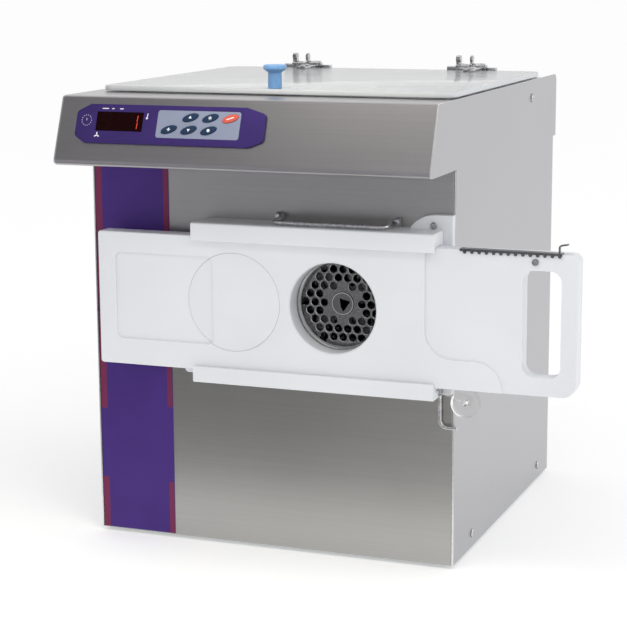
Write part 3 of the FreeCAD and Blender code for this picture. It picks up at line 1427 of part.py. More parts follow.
def fan_motor():
    """Small fan motor on a three-arm spider that bolts to the shroud's ring."""
    profile = [
        (0, FAN_Y - 34),
        (16, FAN_Y - 34),
        (21, FAN_Y - 29),
        (21, FAN_Y - 4),
        (8, FAN_Y - 2),
        (0, FAN_Y - 2),
    ]
    body = revolve_y(profile, FAN_X, FAN_Z)
    shaft = cyl_y(FAN_Y - 3, FAN_Y + FAN_W - 4.5, FAN_X, FAN_Z, 3)
    pieces = [body, shaft]
    for angle in (90, 210, 330):
        arm = box(18, FAN_R + 4, FAN_Y - 5, FAN_Y - 2, -4, 4)
        arm.rotate(V(0, 0, 0), V(0, 1, 0), -angle)
        arm.translate(V(FAN_X, 0, FAN_Z))
        pieces.append(arm)
    return fused(pieces)


def evaporator_coil():
    """Serpentine tube under the tray's floor."""
    z = TRAY_BOTTOM_Z - TUBE_R - 0.1
    left, right = COIL_X
    corners = []
    for row in range(COIL_ROWS):
        y = COIL_Y + row * COIL_PITCH
        ends = (left, right) if row % 2 == 0 else (right, left)
        corners += [V(ends[0], y, z), V(ends[1], y, z)]
    return rod(corners, COIL_PITCH / 2 - 0.01, TUBE_R)


def refrigerant_pipes():
    """Suction line from the coil and discharge line to the condenser."""
    z_coil = TRAY_BOTTOM_Z - TUBE_R - 0.1
    start = stub_top()
    last_y = COIL_Y + (COIL_ROWS - 1) * COIL_PITCH
    side = COIL_X[0] - 26
    (in_x, in_y), (out_x, out_y) = [(COMP_X + x, COMP_Y + y) for x, y in STUBS]
    suction = rod(
        [
            V(COIL_X[0], last_y, z_coil),
            V(side, last_y, z_coil),
            V(side, last_y, start + 40),
            V(side, in_y, start + 40),
            V(in_x, in_y, start + 40),
            V(in_x, in_y, start),
        ],
        14.0, TUBE_R - 0.5,
    )
    cond_y = (COND_Y[0] + COND_Y[1]) / 2
    discharge = rod(
        [
            V(out_x, out_y, start),
            V(out_x, out_y, start + 26),
            V(out_x, cond_y, start + 26),
            V(out_x, cond_y, COND_Z[1]),
        ],
        14.0, TUBE_R - 1,
    )
    return Part.makeCompound([suction, discharge])


def cable_gland():
    """Gland in the rear panel: nut inside, hexagon and clamping cap outside."""
    y0 = CAB_D - SHEET
    corners = []
    for i in range(6):
        angle = math.radians(60 * i)
        corners.append(V(GLAND_X + 13.5 * math.cos(angle), CAB_D, GLAND_Z + 13.5 * math.sin(angle)))
    hexagon = prism(corners, V(0, 4, 0))
    cap = revolve_y(
        [(0, CAB_D + 4), (10.5, CAB_D + 4), (10.5, CAB_D + 8), (7.5, CAB_D + 11.5), (0, CAB_D + 11.5)],
        GLAND_X, GLAND_Z,
    )
    neck = cyl_y(y0 - 7, CAB_D + 1, GLAND_X, GLAND_Z, GLAND_R)
    nut = cyl_y(y0 - 5, y0, GLAND_X, GLAND_Z, 12)
    gland = fused([hexagon, cap, neck, nut])
    return gland.cut(cyl_y(y0 - 9, CAB_D + 13, GLAND_X, GLAND_Z, GLAND_BORE_R))


def build_all():
    os.makedirs("parts", exist_ok=True)
    save("left_side_panel", side_panel(0.0))
    save("right_side_panel", side_panel(CAB_W - SHEET))
    save("front_panel", front_panel())
    save("rear_panel", rear_panel())
    save("base_pan", base_pan())
    save("head_cover", head_cover())
    save("decor_band", decor_band())
    save("panel_screws", panel_screws())
    save("rubber_feet", rubber_feet())
    save("meat_tray", meat_tray())
    save("feed_throat", feed_throat())
    save("lid", lid())
    save("lid_knob", lid_knob())
    save("hinge_straps", hinge_straps())
    save("hinge_brackets", hinge_brackets())
    save("hinge_studs", hinge_studs())
    save("wing_nuts", wing_nuts())
    save("strap_screws", strap_screws())
    save("control_bezel", control_bezel())
    save("display_window", display_window())
    save("keypad_plate", keypad_plate())
    for name, (u, v) in key_centres().items():
        save(name, key(u, v))
    save("control_board", control_board())
    save("back_board", back_board())
    ear_x, ear_z = EAR_SCREW
    save("ear_screw", pan_head(ear_x, -BOARD_T, ear_z, V(0, -1, 0)))
    save("guide_block", guide_block())
    save("wear_strip", wear_strip())
    save("drawer", drawer())
    screw_x, screw_z = DRAWER_SCREW
    save("drawer_screw", pan_head(screw_x, DRAWER_FRONT + STEP_DEPTH, screw_z, V(0, -1, 0)))
    save("mould_disc", mould_disc())
    save("adjusting_rack", adjusting_rack())
    save("carry_handle", carry_handle())
    save("handle_lugs", handle_lugs())
    save("lock_wire", lock_wire())
    save("support_roller", support_roller())
    save("roller_arm", roller_arm())
    save("ring_nut", ring_nut())
    save("perforated_plate", perforated_plate())
    save("knife", knife())
    save("worm", worm())
    save("grinder_barrel", grinder_barrel())
    save("gearbox_housing", gearbox_housing())
    save("gearbox_cover", gearbox_cover())
    save("output_gear", output_gear())
    save("motor_shaft", motor_shaft())
    save("motor", motor())
    save("motor_stand", motor_stand())
    save("compressor", compressor())
    save("condenser", condenser())
    save("fan_shroud", fan_shroud())
    save("fan_rotor", fan_rotor())
    save("fan_motor", fan_motor())
    save("evaporator_coil", evaporator_coil())
    save("refrigerant_pipes", refrigerant_pipes())
    save("cable_gland", cable_gland())


build_all()
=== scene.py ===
import json
import logging
import math
from dataclasses import dataclass
from enum import Enum

import bmesh
import bpy
from mathutils import Matrix, Vector


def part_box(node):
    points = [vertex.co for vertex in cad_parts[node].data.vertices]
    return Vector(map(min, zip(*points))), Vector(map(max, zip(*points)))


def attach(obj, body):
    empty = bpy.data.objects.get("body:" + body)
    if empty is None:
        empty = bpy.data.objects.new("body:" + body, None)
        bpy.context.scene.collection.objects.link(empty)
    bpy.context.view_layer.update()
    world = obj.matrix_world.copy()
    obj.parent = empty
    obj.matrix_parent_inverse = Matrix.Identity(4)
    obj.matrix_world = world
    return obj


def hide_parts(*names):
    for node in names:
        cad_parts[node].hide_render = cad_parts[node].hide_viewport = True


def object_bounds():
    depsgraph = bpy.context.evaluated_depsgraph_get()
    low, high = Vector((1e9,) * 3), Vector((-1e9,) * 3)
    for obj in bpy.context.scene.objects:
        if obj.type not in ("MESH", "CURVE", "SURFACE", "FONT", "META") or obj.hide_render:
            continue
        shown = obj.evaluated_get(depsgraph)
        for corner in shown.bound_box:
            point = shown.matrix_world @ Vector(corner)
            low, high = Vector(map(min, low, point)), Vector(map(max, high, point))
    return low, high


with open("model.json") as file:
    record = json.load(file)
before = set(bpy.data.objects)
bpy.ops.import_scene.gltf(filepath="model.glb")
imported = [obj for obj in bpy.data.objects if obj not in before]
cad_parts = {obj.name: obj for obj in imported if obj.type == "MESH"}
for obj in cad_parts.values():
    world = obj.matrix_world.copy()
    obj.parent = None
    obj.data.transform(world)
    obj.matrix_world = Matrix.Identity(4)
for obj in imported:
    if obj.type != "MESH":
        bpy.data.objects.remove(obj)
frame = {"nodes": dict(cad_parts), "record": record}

CAD_LOW, CAD_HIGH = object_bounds()
MM = 0.001
RIGHTWARDS = Vector((1.0, 0.0, 0.0))
BACKWARDS = Vector((0.0, 1.0, 0.0))
UPWARDS = Vector((0.0, 0.0, 1.0))

log = logging.getLogger("meat_grinder")

Colour = tuple[float, float, float]
Span = tuple[float, float]
Socket = bpy.types.NodeSocket


class Grain(Enum):
    """Direction in which a sheet was brushed, as the noise's stretch on each axis."""

    ALONG_X = (4.0, 700.0, 700.0)
    ALONG_Z = (700.0, 700.0, 4.0)


class Icon(Enum):
    """Plain marks printed on the keys."""

    UP = "up"
    DOWN = "down"
    FROST = "frost"
    PLUS = "plus"
    DOT = "dot"
    BAR = "bar"


class ShaderSheet:
    """One material's node tree, with short calls for the nodes that the finishes share."""

    NOISE_SPAN = (0.3, 0.7)
    MIX_COLOUR_A = 6
    MIX_COLOUR_B = 7
    MIX_COLOUR_OUT = 2

    def __init__(self, name: str) -> None:
        """Starts a material that holds one Principled shader.

        Args:
            name: the material's name.
        """
        self.material = bpy.data.materials.new(name)
        self.material.use_nodes = True
        self.tree = self.material.node_tree
        self.shader = self.tree.nodes["Principled BSDF"]
        self.object_coords = self.tree.nodes.new("ShaderNodeTexCoord").outputs["Object"]

    def set(self, **values: float | tuple) -> None:
        """Sets constants on the shader's own sockets, with spaces in names written as underscores."""
        for name, value in values.items():
            self.shader.inputs[name.replace("_", " ")].default_value = value

    def link(self, source: Socket, target: Socket) -> None:
        """Joins two sockets."""
        self.tree.links.new(source, target)

    def feed(self, source: Socket, entry: str) -> None:
        """Joins a socket to one of the shader's own."""
        self.link(source, self.shader.inputs[entry])

    def axes(self) -> bpy.types.bpy_prop_collection:
        """Splits the Object coordinates into their X, Y and Z sockets."""
        node = self.tree.nodes.new("ShaderNodeSeparateXYZ")
        self.link(self.object_coords, node.inputs[0])
        return node.outputs

    def noise(self, scale: float, detail: float = 3.0, stretch: tuple = (1.0, 1.0, 1.0)) -> Socket:
        """Adds a noise pattern on Object coordinates.

        Args:
            scale: pattern size, in cycles per metre.
            detail: octaves of the noise.
            stretch: factor on each axis before the noise.

        Returns:
            The noise's value socket.
        """
        mapping = self.tree.nodes.new("ShaderNodeMapping")
        mapping.inputs["Scale"].default_value = stretch
        self.link(self.object_coords, mapping.inputs["Vector"])
        texture = self.tree.nodes.new("ShaderNodeTexNoise")
        texture.inputs["Scale"].default_value = scale
        texture.inputs["Detail"].default_value = detail
        self.link(mapping.outputs["Vector"], texture.inputs["Vector"])
        return texture.outputs["Fac"]

    def ramp(self, source: Socket, span: Span, low: float = 0.0, high: float = 1.0) -> Socket:
        """Goes from one result to another while a value crosses a span.

        Args:
            source: the value to read.
            span: values at which the low and the high result are reached.
            low: result up to the span's start.
            high: result from the span's end on.

        Returns:
            The result's socket.
        """
        node = self.tree.nodes.new("ShaderNodeMapRange")
        for entry, value in zip(("From Min", "From Max", "To Min", "To Max"), (*span, low, high)):
            node.inputs[entry].default_value = value
        self.link(source, node.inputs["Value"])
        return node.outputs["Result"]

    def spread(self, pattern: Socket, low: float = 0.0, high: float = 1.0) -> Socket:
        """Maps the middle of a noise's range to low..high."""
        return self.ramp(pattern, self.NOISE_SPAN, low, high)

    def blend(self, cover: Socket, ground: Colour | Socket, ink: Colour) -> Socket:
        """Lays a colour over another one.

        Args:
            cover: 0 where only the ground shows, 1 where only the ink shows.
            ground: the colour below, or its socket.
            ink: the colour on top.

        Returns:
            The blended colour's socket.
        """
        mix = self.tree.nodes.new("ShaderNodeMix")
        mix.data_type = "RGBA"
        if isinstance(ground, Socket):
            self.link(ground, mix.inputs[self.MIX_COLOUR_A])
        else:
            mix.inputs[self.MIX_COLOUR_A].default_value = (*ground, 1.0)
        mix.inputs[self.MIX_COLOUR_B].default_value = (*ink, 1.0)
        self.link(cover, mix.inputs[0])
        return mix.outputs[self.MIX_COLOUR_OUT]

    def calc(self, operation: str, *values: Socket | float) -> Socket:
        """Puts values through one Math node.

        Args:
            operation: the Math node's operation.
            values: sockets or numbers, in the node's order.

        Returns:
            The result's socket.
        """
        node = self.tree.nodes.new("ShaderNodeMath")
        node.operation = operation
        for value, entry in zip(values, node.inputs):
            if isinstance(value, Socket):
                self.link(value, entry)
            else:
                entry.default_value = value
        return node.outputs[0]

    def cloud(self, pattern: Socket, tint: Colour, factors: Span) -> Socket:
        """Varies a colour's brightness between two factors by a pattern."""
        return self.blend(self.spread(pattern), shade(tint, factors[0]), shade(tint, factors[1]))

    def paint(self, pattern: Socket, tint: Colour, factors: Span) -> None:
        """Gives the shader a colour whose brightness varies between two factors."""
        self.feed(self.cloud(pattern, tint, factors), "Base Color")

    def polish(self, pattern: Socket, roughness: float, change: Span) -> None:
        """Gives the shader a roughness that varies by a pattern.

        Args:
            pattern: the noise to follow.
            roughness: the middle value.
            change: what the noise's dark end and bright end add to it.
        """
        self.feed(self.spread(pattern, roughness + change[0], roughness + change[1]), "Roughness")

    def relief(self, source: Socket, depth_mm: float, strength: float) -> None:
        """Makes the surface uneven by a pattern.

        Args:
            source: height from 0 to 1.
            depth_mm: height of the relief in millimetres.
            strength: how strongly it turns the normals.
        """
        bump = self.tree.nodes.new("ShaderNodeBump")
        bump.inputs["Distance"].default_value = depth_mm * MM
        bump.inputs["Strength"].default_value = strength
        self.link(source, bump.inputs["Height"])
        self.feed(bump.outputs["Normal"], "Normal")


def shade(tint: Colour, factor: float) -> Colour:
    """Scales a colour's brightness, kept below 1."""
    return tuple(min(1.0, c * factor) for c in tint)


@dataclass(frozen=True)
class BrushedSteel:
    """Stainless sheet with long fine grain, cloudy wiping marks and a soft mirror."""

    name: str
    tint: Colour
    grain: Grain
    roughness: float = 0.34
    contrast: float = 0.05
    cloud_scale: float = 7.0
    grain_share: float = 0.6
    roughness_change: Span = (-0.025, 0.03)
    relief_mm: float = 0.02
    relief_strength: float = 0.06

    def build(self) -> bpy.types.Material:
        """Makes the material."""
        sheet = ShaderSheet(self.name)
        sheet.set(Metallic=1.0)
        fine = sheet.noise(1.0, 2.0, self.grain.value)
        clouds = sheet.noise(self.cloud_scale, 4.0)
        both = sheet.calc(
            "ADD",
            sheet.calc("MULTIPLY", fine, self.grain_share),
            sheet.calc("MULTIPLY", clouds, 1.0 - self.grain_share),
        )
        sheet.paint(both, self.tint, (1.0 - self.contrast, 1.0 + self.contrast))
        sheet.polish(both, self.roughness, self.roughness_change)
        sheet.relief(fine, self.relief_mm, self.relief_strength)
        return sheet.material


@dataclass(frozen=True)
class PolishedMetal:
    """Turned or polished metal dappled by a fine noise: faint handling marks at a low contrast, and a
    painted dappled reflection at the high contrasts (0.3 and more) of the hinges, screws, bolts, wire and
    plate.
    """

    name: str
    tint: Colour
    roughness: float = 0.16
    marks_and_reflection_scale: float = 320.0
    relief_mm: float = 0.02
    contrast: float = 0.08
    wear_scale: float = 40.0
    roughness_change: Span = (-0.05, 0.08)
    relief_strength: float = 0.2

    def build(self) -> bpy.types.Material:
        """Makes the material."""
        sheet = ShaderSheet(self.name)
        sheet.set(Metallic=1.0)
        # Fine noise that varies the colour: handling marks, and at a high contrast a painted reflection.
        marks = sheet.noise(self.marks_and_reflection_scale, 4.0)
        sheet.paint(marks, self.tint, (1.0 - self.contrast, 1.0 + self.contrast))
        sheet.polish(sheet.noise(self.wear_scale), self.roughness, self.roughness_change)
        sheet.relief(marks, self.relief_mm, self.relief_strength)
        return sheet.material


@dataclass(frozen=True)
class MilledPlastic:
    """White polyethylene cut from plate: waxy, slightly see-through, with faint cutter marks."""

    name: str
    tint: Colour
    roughness: float = 0.42
    scatter: float = 0.12
    scatter_depth: float = 0.004
    scatter_reach: tuple[float, float, float] = (1.0, 1.0, 0.9)
    index: float = 1.51
    stain_scale: float = 9.0
    stain_tones: Span = (0.965, 1.015)
    cutter_stretch: tuple[float, float, float] = (160.0, 160.0, 1500.0)
    roughness_change: Span = (-0.05, 0.07)
    relief_mm: float = 0.03
    relief_strength: float = 0.12

    def build(self) -> bpy.types.Material:
        """Makes the material."""
        sheet = ShaderSheet(self.name)
        sheet.set(Subsurface_Weight=self.scatter, Subsurface_Radius=self.scatter_reach)
        sheet.set(Subsurface_Scale=self.scatter_depth, IOR=self.index)
        cutter = sheet.noise(1.0, 2.0, self.cutter_stretch)
        sheet.paint(sheet.noise(self.stain_scale, 4.0), self.tint, self.stain_tones)
        sheet.polish(cutter, self.roughness, self.roughness_change)
        sheet.relief(cutter, self.relief_mm, self.relief_strength)
        return sheet.material


@dataclass(frozen=True)
class MouldedPlastic:
    """Moulded or printed plastic with a fine texture."""

    name: str
    tint: Colour
    roughness: float = 0.32
    texture: float = 900.0
    relief_mm: float = 0.02
    mottle: float = 0.06
    sheen: float = 0.5
    patch_scale: float = 26.0
    roughness_change: Span = (-0.04, 0.06)
    relief_strength: float = 0.25

    def build(self) -> bpy.types.Material:
        """Makes the material."""
        sheet = ShaderSheet(self.name)
        sheet.set(Specular_IOR_Level=self.sheen)
        skin = sheet.noise(self.texture)
        sheet.paint(sheet.noise(self.patch_scale), self.tint, (1.0 - self.mottle, 1.0 + self.mottle))
        sheet.polish(skin, self.roughness, self.roughness_change)
        sheet.relief(skin, self.relief_mm, self.relief_strength)
        return sheet.material


@dataclass(frozen=True)
class ClearPlate:
    """See-through plastic with an uneven haze."""

    name: str
    tint: Colour
    haze: float
    see_through: float
    index: float
    wipe_scale: float = 14.0
    wipe_stretch: tuple[float, float, float] = (1.0, 3.0, 1.0)
    haze_span: Span = (0.85, 1.2)
    wipe_tones: Span = (0.98, 1.0)

    def build(self) -> bpy.types.Material:
        """Makes the material."""
        sheet = ShaderSheet(self.name)
        sheet.set(Transmission_Weight=self.see_through, IOR=self.index)
        wipe = sheet.noise(self.wipe_scale, 5.0, self.wipe_stretch)
        clearest, cloudiest = (share * self.haze for share in self.haze_span)
        sheet.feed(sheet.spread(wipe, clearest, cloudiest), "Roughness")
        sheet.paint(wipe, self.tint, self.wipe_tones)
        return sheet.material


@dataclass(frozen=True)
class StripedFilm:
    """Satin film with a stripe near each long edge, each broken over one stretch."""

    name: str
    ground: Colour
    stripe: Colour
    left: Span
    right: Span
    left_break: Span
    right_break: Span
    sheen: float = 0.15
    cloud_scale: float = 22.0
    cloud_tones: Span = (0.95, 1.06)
    grain_scale: float = 300.0
    roughness_span: Span = (0.3, 0.42)
    relief_mm: float = 0.01
    relief_strength: float = 0.1

    def band(self, sheet: ShaderSheet, value: Socket, limits: Span) -> Socket:
        """Gives 1 where the value lies between two limits, else 0.

        Args:
            sheet: the material's sheet.
            value: the value to test.
            limits: lower and upper limit.

        Returns:
            The result's socket.
        """
        above = sheet.calc("GREATER_THAN", value, limits[0])
        below = sheet.calc("LESS_THAN", value, limits[1])
        return sheet.calc("MULTIPLY", above, below)

    def build(self) -> bpy.types.Material:
        """Makes the material."""
        sheet = ShaderSheet(self.name)
        sheet.set(Specular_IOR_Level=self.sheen)
        axes = sheet.axes()
        stripes = []
        for edges, gap in ((self.left, self.left_break), (self.right, self.right_break)):
            inside = self.band(sheet, axes["X"], edges)
            broken = sheet.calc("MULTIPLY", inside, self.band(sheet, axes["Z"], gap))
            stripes.append(sheet.calc("SUBTRACT", inside, broken))
        ground = sheet.cloud(sheet.noise(self.cloud_scale), self.ground, self.cloud_tones)
        sheet.feed(sheet.blend(sheet.calc("MAXIMUM", *stripes), ground, self.stripe), "Base Color")
        grain = sheet.noise(self.grain_scale)
        sheet.feed(sheet.spread(grain, *self.roughness_span), "Roughness")
        sheet.relief(grain, self.relief_mm, self.relief_strength)
        return sheet.material


@dataclass(frozen=True)
class LitSegment:
    """Red light of a display segment."""

    name: str
    tint: Colour
    strength: float
    glow_scale: float = 400.0
    glow_tones: Span = (0.5, 0.7)

    def build(self) -> bpy.types.Material:
        """Makes the material."""
        sheet = ShaderSheet(self.name)
        sheet.set(Emission_Color=(*self.tint, 1.0), Emission_Strength=self.strength)
        sheet.paint(sheet.noise(self.glow_scale, 2.0), self.tint, self.glow_tones)
        return sheet.material


@dataclass(frozen=True)
class Seat:
    """Places in the cabinet's own frame: X from its left side, Y from its front, Z from its foot."""

    corner: Vector

    def at(self, x: float, y: float, z: float) -> Vector:
        """Turns cabinet millimetres into the model's metres."""
        return self.corner + Vector((x, y, z)) * MM


def find_seat() -> Seat:
    """Reads the cabinet's lower left front corner from the frame."""
    side_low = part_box("left_side_panel")[0]
    front_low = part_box("front_panel")[0]
    return Seat(Vector((side_low.x, front_low.y, side_low.z)))


class Workshop:
    """Keeps the finishes and puts pieces on the frame's bodies."""

    MERGE_MM = 0.002
    FLAT_DEG = 0.6
    SHARP_DEG = 32.0
    SMOOTH_DEG = 35.0
    TURN_STEPS = 64
    TURN_MERGE_MM = 0.001

    def __init__(self) -> None:
        """Reads which body and slot each node has."""
        record = frame["record"]
        self.body_of = {n: body for body, nodes in record["behaviour"]["bodies"].items() for n in nodes}
        self.slot_of = {s["node"]: s["material_slot"] for s in record["subparts"]}
        self.made: dict[str, bpy.types.Material] = {}

    def finish(self, look: object) -> bpy.types.Material:
        """Builds a finish once and gives its material."""
        if look.name not in self.made:
            self.made[look.name] = look.build()
        return self.made[look.name]

    def dress(self, look: object, *nodes: str) -> None:
        """Gives frame nodes a finish.

        Args:
            look: the finish to build.
            nodes: the frame nodes.
        """
        for node in nodes:
            mesh = frame["nodes"][node].data
            mesh.materials.clear()
            mesh.materials.append(self.finish(look))
            log.info("finish %s on %s", look.name, node)

    def piece(self, name: str, form: bmesh.types.BMesh, *looks: object) -> bpy.types.Object:
        """Turns a bmesh in metres into an object at the origin.

        Args:
            name: the object's name.
            form: the shape, which is freed.
            looks: finishes in the order of the faces' material numbers.

        Returns:
            The new object.
        """
        mesh = bpy.data.meshes.new(name)
        form.to_mesh(mesh)
        form.free()
        mesh.shade_smooth()
        mesh.set_sharp_from_angle(angle=math.radians(self.SMOOTH_DEG))
        for look in looks:
            mesh.materials.append(self.finish(look))
        thing = bpy.data.objects.new(name, mesh)
        bpy.context.scene.collection.objects.link(thing)
        return thing

    def stand_for(self, thing: bpy.types.Object, node: str) -> bpy.types.Object:
        """Lets a piece take a frame node's place and body.

        Args:
            thing: the piece.
            node: the node that it stands for.

        Returns:
            The piece.
        """
        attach(thing, self.body_of[node])
        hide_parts(node)
        log.info("piece %s stands for %s", thing.name, node)
        return thing

    def add_to(self, thing: bpy.types.Object, node: str, slot: str) -> None:
        """Lets a piece ride on a frame node's body without hiding the node.

        Args:
            thing: the piece.
            node: the node whose body it rides on.
            slot: not used.
        """
        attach(thing, self.body_of[node])
        log.info("piece %s rides on %s", thing.name, self.body_of[node])

    def eased(
        self, node: str, name: str, look: object, radius_mm: float, segments: int = 2,
    ) -> bpy.types.Object:
        """Copies a frame node with its sharp edges rounded.

        Args:
            node: the node to copy.
            name: the new piece's name.
            look: its finish.
            radius_mm: radius of the rounding.
            segments: steps across the rounding.

        Returns:
            The piece, which stands for the node.
        """
        form = bmesh.new()
        form.from_mesh(frame["nodes"][node].data)
        bmesh.ops.remove_doubles(form, verts=form.verts, dist=self.MERGE_MM * MM)
        bmesh.ops.dissolve_limit(
            form, angle_limit=math.radians(self.FLAT_DEG), verts=form.verts, edges=form.edges,
        )
        sharp = [
            edge for edge in form.edges
            if len(edge.link_faces) == 2 and edge.calc_face_angle(0.0) > math.radians(self.SHARP_DEG)
        ]
        bmesh.ops.bevel(
            form, geom=sharp, offset=radius_mm * MM, segments=segments, profile=0.5,
            affect="EDGES", material=-1, clamp_overlap=True,
        )
        return self.stand_for(self.piece(name, form, look), node)

    def tip_faces(self, thing: bpy.types.Object, look: object, axis: Vector, lean: Span) -> None:
        """Gives a second finish to the faces that lean from an axis.

        Args:
            thing: the piece.
            look: the second finish.
            axis: unit vector to compare with.
            lean: lowest and highest size of the dot product of a face's normal with the axis.
        """
        thing.data.materials.append(self.finish(look))
        for face in thing.data.polygons:
            if lean[0] <= abs(face.normal.dot(axis)) <= lean[1]:
                face.material_index = 1

    def turned(
        self, name: str, outline: list[Span], centre: Vector, axis: Vector, look: object,
    ) -> bpy.types.Object:
        """Turns an outline round an axis.

        Args:
            name: the piece's name.
            outline: pairs of radius and distance along the axis, in millimetres.
            centre: the point on the axis at distance 0.
            axis: unit vector of the axis.
            look: the finish.

        Returns:
            The piece.
        """
        form = bmesh.new()
        across = axis.orthogonal().normalized()
        points = [form.verts.new(centre + (across * r + axis * s) * MM) for r, s in outline]
        lines = [form.edges.new(pair) for pair in zip(points, points[1:])]
        bmesh.ops.spin(
            form, geom=points + lines, cent=centre, axis=axis, dvec=(0, 0, 0), angle=math.tau,
            steps=self.TURN_STEPS, use_merge=True,
        )
        bmesh.ops.remove_doubles(form, verts=form.verts, dist=self.TURN_MERGE_MM * MM)
        bmesh.ops.recalc_face_normals(form, faces=form.faces)
        return self.piece(name, form, look)


@dataclass
class Cabinet:
    """Folded stainless sheets, the purple film, screws and feet."""

    shop: Workshop
    seat: Seat
    # One stainless steel in four tints, each set to the tone its panel shows under this light: painted
    # light, with the side sheets a little bluer, the front warmer and the sloped head a little darker.
    side: BrushedSteel = BrushedSteel("side_steel", (0.455, 0.455, 0.47), Grain.ALONG_Z)
    front: BrushedSteel = BrushedSteel("front_steel", (0.455, 0.45, 0.435), Grain.ALONG_X, 0.33)
    head: BrushedSteel = BrushedSteel("head_steel", (0.445, 0.432, 0.44), Grain.ALONG_X, 0.33)
    rear: BrushedSteel = BrushedSteel("rear_steel", (0.45, 0.45, 0.455), Grain.ALONG_Z)
    zinc: PolishedMetal = PolishedMetal("zinc_sheet", (0.50, 0.52, 0.53), 0.45, 90.0)
    # Steel far brighter than the sheets, for their chamfered edges and the seam bead: partly a polished
    # edge, partly a painted highlight.
    highlight_rim: PolishedMetal = PolishedMetal("sheet_polish_and_highlight", (0.80, 0.80, 0.80), 0.3)
    # The screws' high contrast dapples their heads dark and bright: a painted reflection.
    screw: PolishedMetal = PolishedMetal("screw_steel", (0.52, 0.52, 0.53), 0.16, 500.0, contrast=0.4)
    pad: MouldedPlastic = MouldedPlastic("rubber_pad", (0.025, 0.025, 0.026), 0.7, 500.0, 0.05)
    rim_mm: float = 0.6
    rim_lean: Span = (0.0, 0.96)
    bead_mm: float = 0.5
    bead_foot: float = 0.5
    bead_head: float = 1.0
    purple: Colour = (0.066, 0.030, 0.205)
    wine: Colour = (0.19, 0.030, 0.085)
    left_stripe: Span = (2.4, 10.0)
    right_stripe: Span = (81.5, 87.4)
    left_gap: Span = (57.0, 134.0)
    right_gap: Span = (58.0, 141.0)

    def film(self) -> StripedFilm:
        """Works out the film's stripes in the model's metres."""
        def along_x(span: Span) -> Span:
            """Turns a span from the cabinet's left side."""
            return tuple(self.seat.at(x, 0, 0).x for x in span)

        def along_z(span: Span) -> Span:
            """Turns a span from the cabinet's foot."""
            return tuple(self.seat.at(0, 0, z).z for z in span)

        return StripedFilm(
            "purple_film", self.purple, self.wine, along_x(self.left_stripe), along_x(self.right_stripe),
            along_z(self.left_gap), along_z(self.right_gap),
        )

    def highlight_bead(self) -> None:
        """Runs a thin bead of bright polished steel up the seam of the front sheet and the right side sheet:
        a painted highlight along that corner.
        """
        low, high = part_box("front_panel")
        top = (high.z - low.z) / MM - self.bead_head
        foot = Vector((high.x + self.bead_mm / 2 * MM, low.y + self.bead_mm / 2 * MM, low.z))
        outline = [
            (0.0, self.bead_foot), (self.bead_mm, self.bead_foot), (self.bead_mm, top), (0.0, top),
        ]
        bead = self.shop.turned("right_seam_highlight_bead", outline, foot, UPWARDS, self.highlight_rim)
        self.shop.add_to(bead, "front_panel", self.shop.slot_of["front_panel"])

    def build(self) -> None:
        """Dresses the cabinet's nodes."""
        for node, name in (("left_side_panel", "left_sheet"), ("right_side_panel", "right_sheet")):
            sheet = self.shop.eased(node, name, self.side, self.rim_mm, 1)
            # The chamfers take the bright edge steel: a painted highlight along the sheets' edges.
            self.shop.tip_faces(sheet, self.highlight_rim, RIGHTWARDS, self.rim_lean)
            sheet.data.shade_flat()
        self.highlight_bead()
        self.shop.dress(self.front, "front_panel")
        self.shop.dress(self.rear, "rear_panel")
        self.shop.dress(self.head, "head_cover")
        self.shop.dress(self.zinc, "base_pan")
        self.shop.dress(self.film(), "decor_band")
        self.shop.eased("panel_screws", "panel_screw_set", self.screw, 0.25)
        self.shop.dress(self.pad, "rubber_feet")


@dataclass
class LidSet:
    """Clear lid with its knob and the two wing-nut hinges."""

    shop: Workshop
    plate: ClearPlate = ClearPlate("lid_acrylic", (0.74, 0.755, 0.78), 0.16, 0.5, 1.38)
    sawn: MouldedPlastic = MouldedPlastic(
        "lid_edge", (0.66, 0.68, 0.70), 0.4, 300.0, 0.004, 0.03, sheen=0.3,
    )
    knob: MouldedPlastic = MouldedPlastic(
        "knob_blue", (0.16, 0.33, 0.60), 0.3, 500.0, 0.01, 0.05, sheen=0.4,
    )
    # The hinges' high contrast dapples their steel dark and bright: a painted reflection.
    polished: PolishedMetal = PolishedMetal("hinge_steel", (0.50, 0.50, 0.51), 0.1, contrast=0.4)
    corner_mm: float = 14.0
    corner_steps: int = 10
    edge_mm: float = 0.6
    rim_deg: float = 60.0
    knob_ease: float = 0.35

    def lid_plate(self) -> None:
        """Builds the lid with round corners and a separate finish on its sawn edge."""
        low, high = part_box("lid")
        form = bmesh.new()
        bmesh.ops.create_cube(form, size=1.0)
        bmesh.ops.scale(form, vec=high - low, verts=form.verts)
        bmesh.ops.translate(form, vec=(low + high) / 2, verts=form.verts)
        half_thick = (high.z - low.z) / 2
        upright = [e for e in form.edges if abs(e.verts[0].co.z - e.verts[1].co.z) > half_thick]
        bmesh.ops.bevel(
            form, geom=upright, offset=self.corner_mm * MM, segments=self.corner_steps, profile=0.5,
            affect="EDGES", material=-1,
        )
        rims = [e for e in form.edges if e.calc_face_angle(0.0) > math.radians(self.rim_deg)]
        bmesh.ops.bevel(
            form, geom=rims, offset=self.edge_mm * MM, segments=2, profile=0.5, affect="EDGES", material=-1,
        )
        for face in form.faces:
            face.material_index = 1 if abs(face.normal.z) < 0.5 else 0
        self.shop.stand_for(self.shop.piece("lid_plate", form, self.plate, self.sawn), "lid")

    def build(self) -> None:
        """Builds the lid and dresses the hinges."""
        self.lid_plate()
        self.shop.eased("lid_knob", "lift_knob", self.knob, self.knob_ease)
        for node, name, radius in (
            ("hinge_straps", "hinge_strap_pair", 0.5),
            ("hinge_brackets", "hinge_bracket_pair", 0.9),
            ("hinge_studs", "hinge_stud_pair", 0.6),
            ("wing_nuts", "wing_nut_pair", 1.3),
            ("strap_screws", "strap_screw_set", 0.3),
        ):
            self.shop.eased(node, name, self.polished, radius, 3)


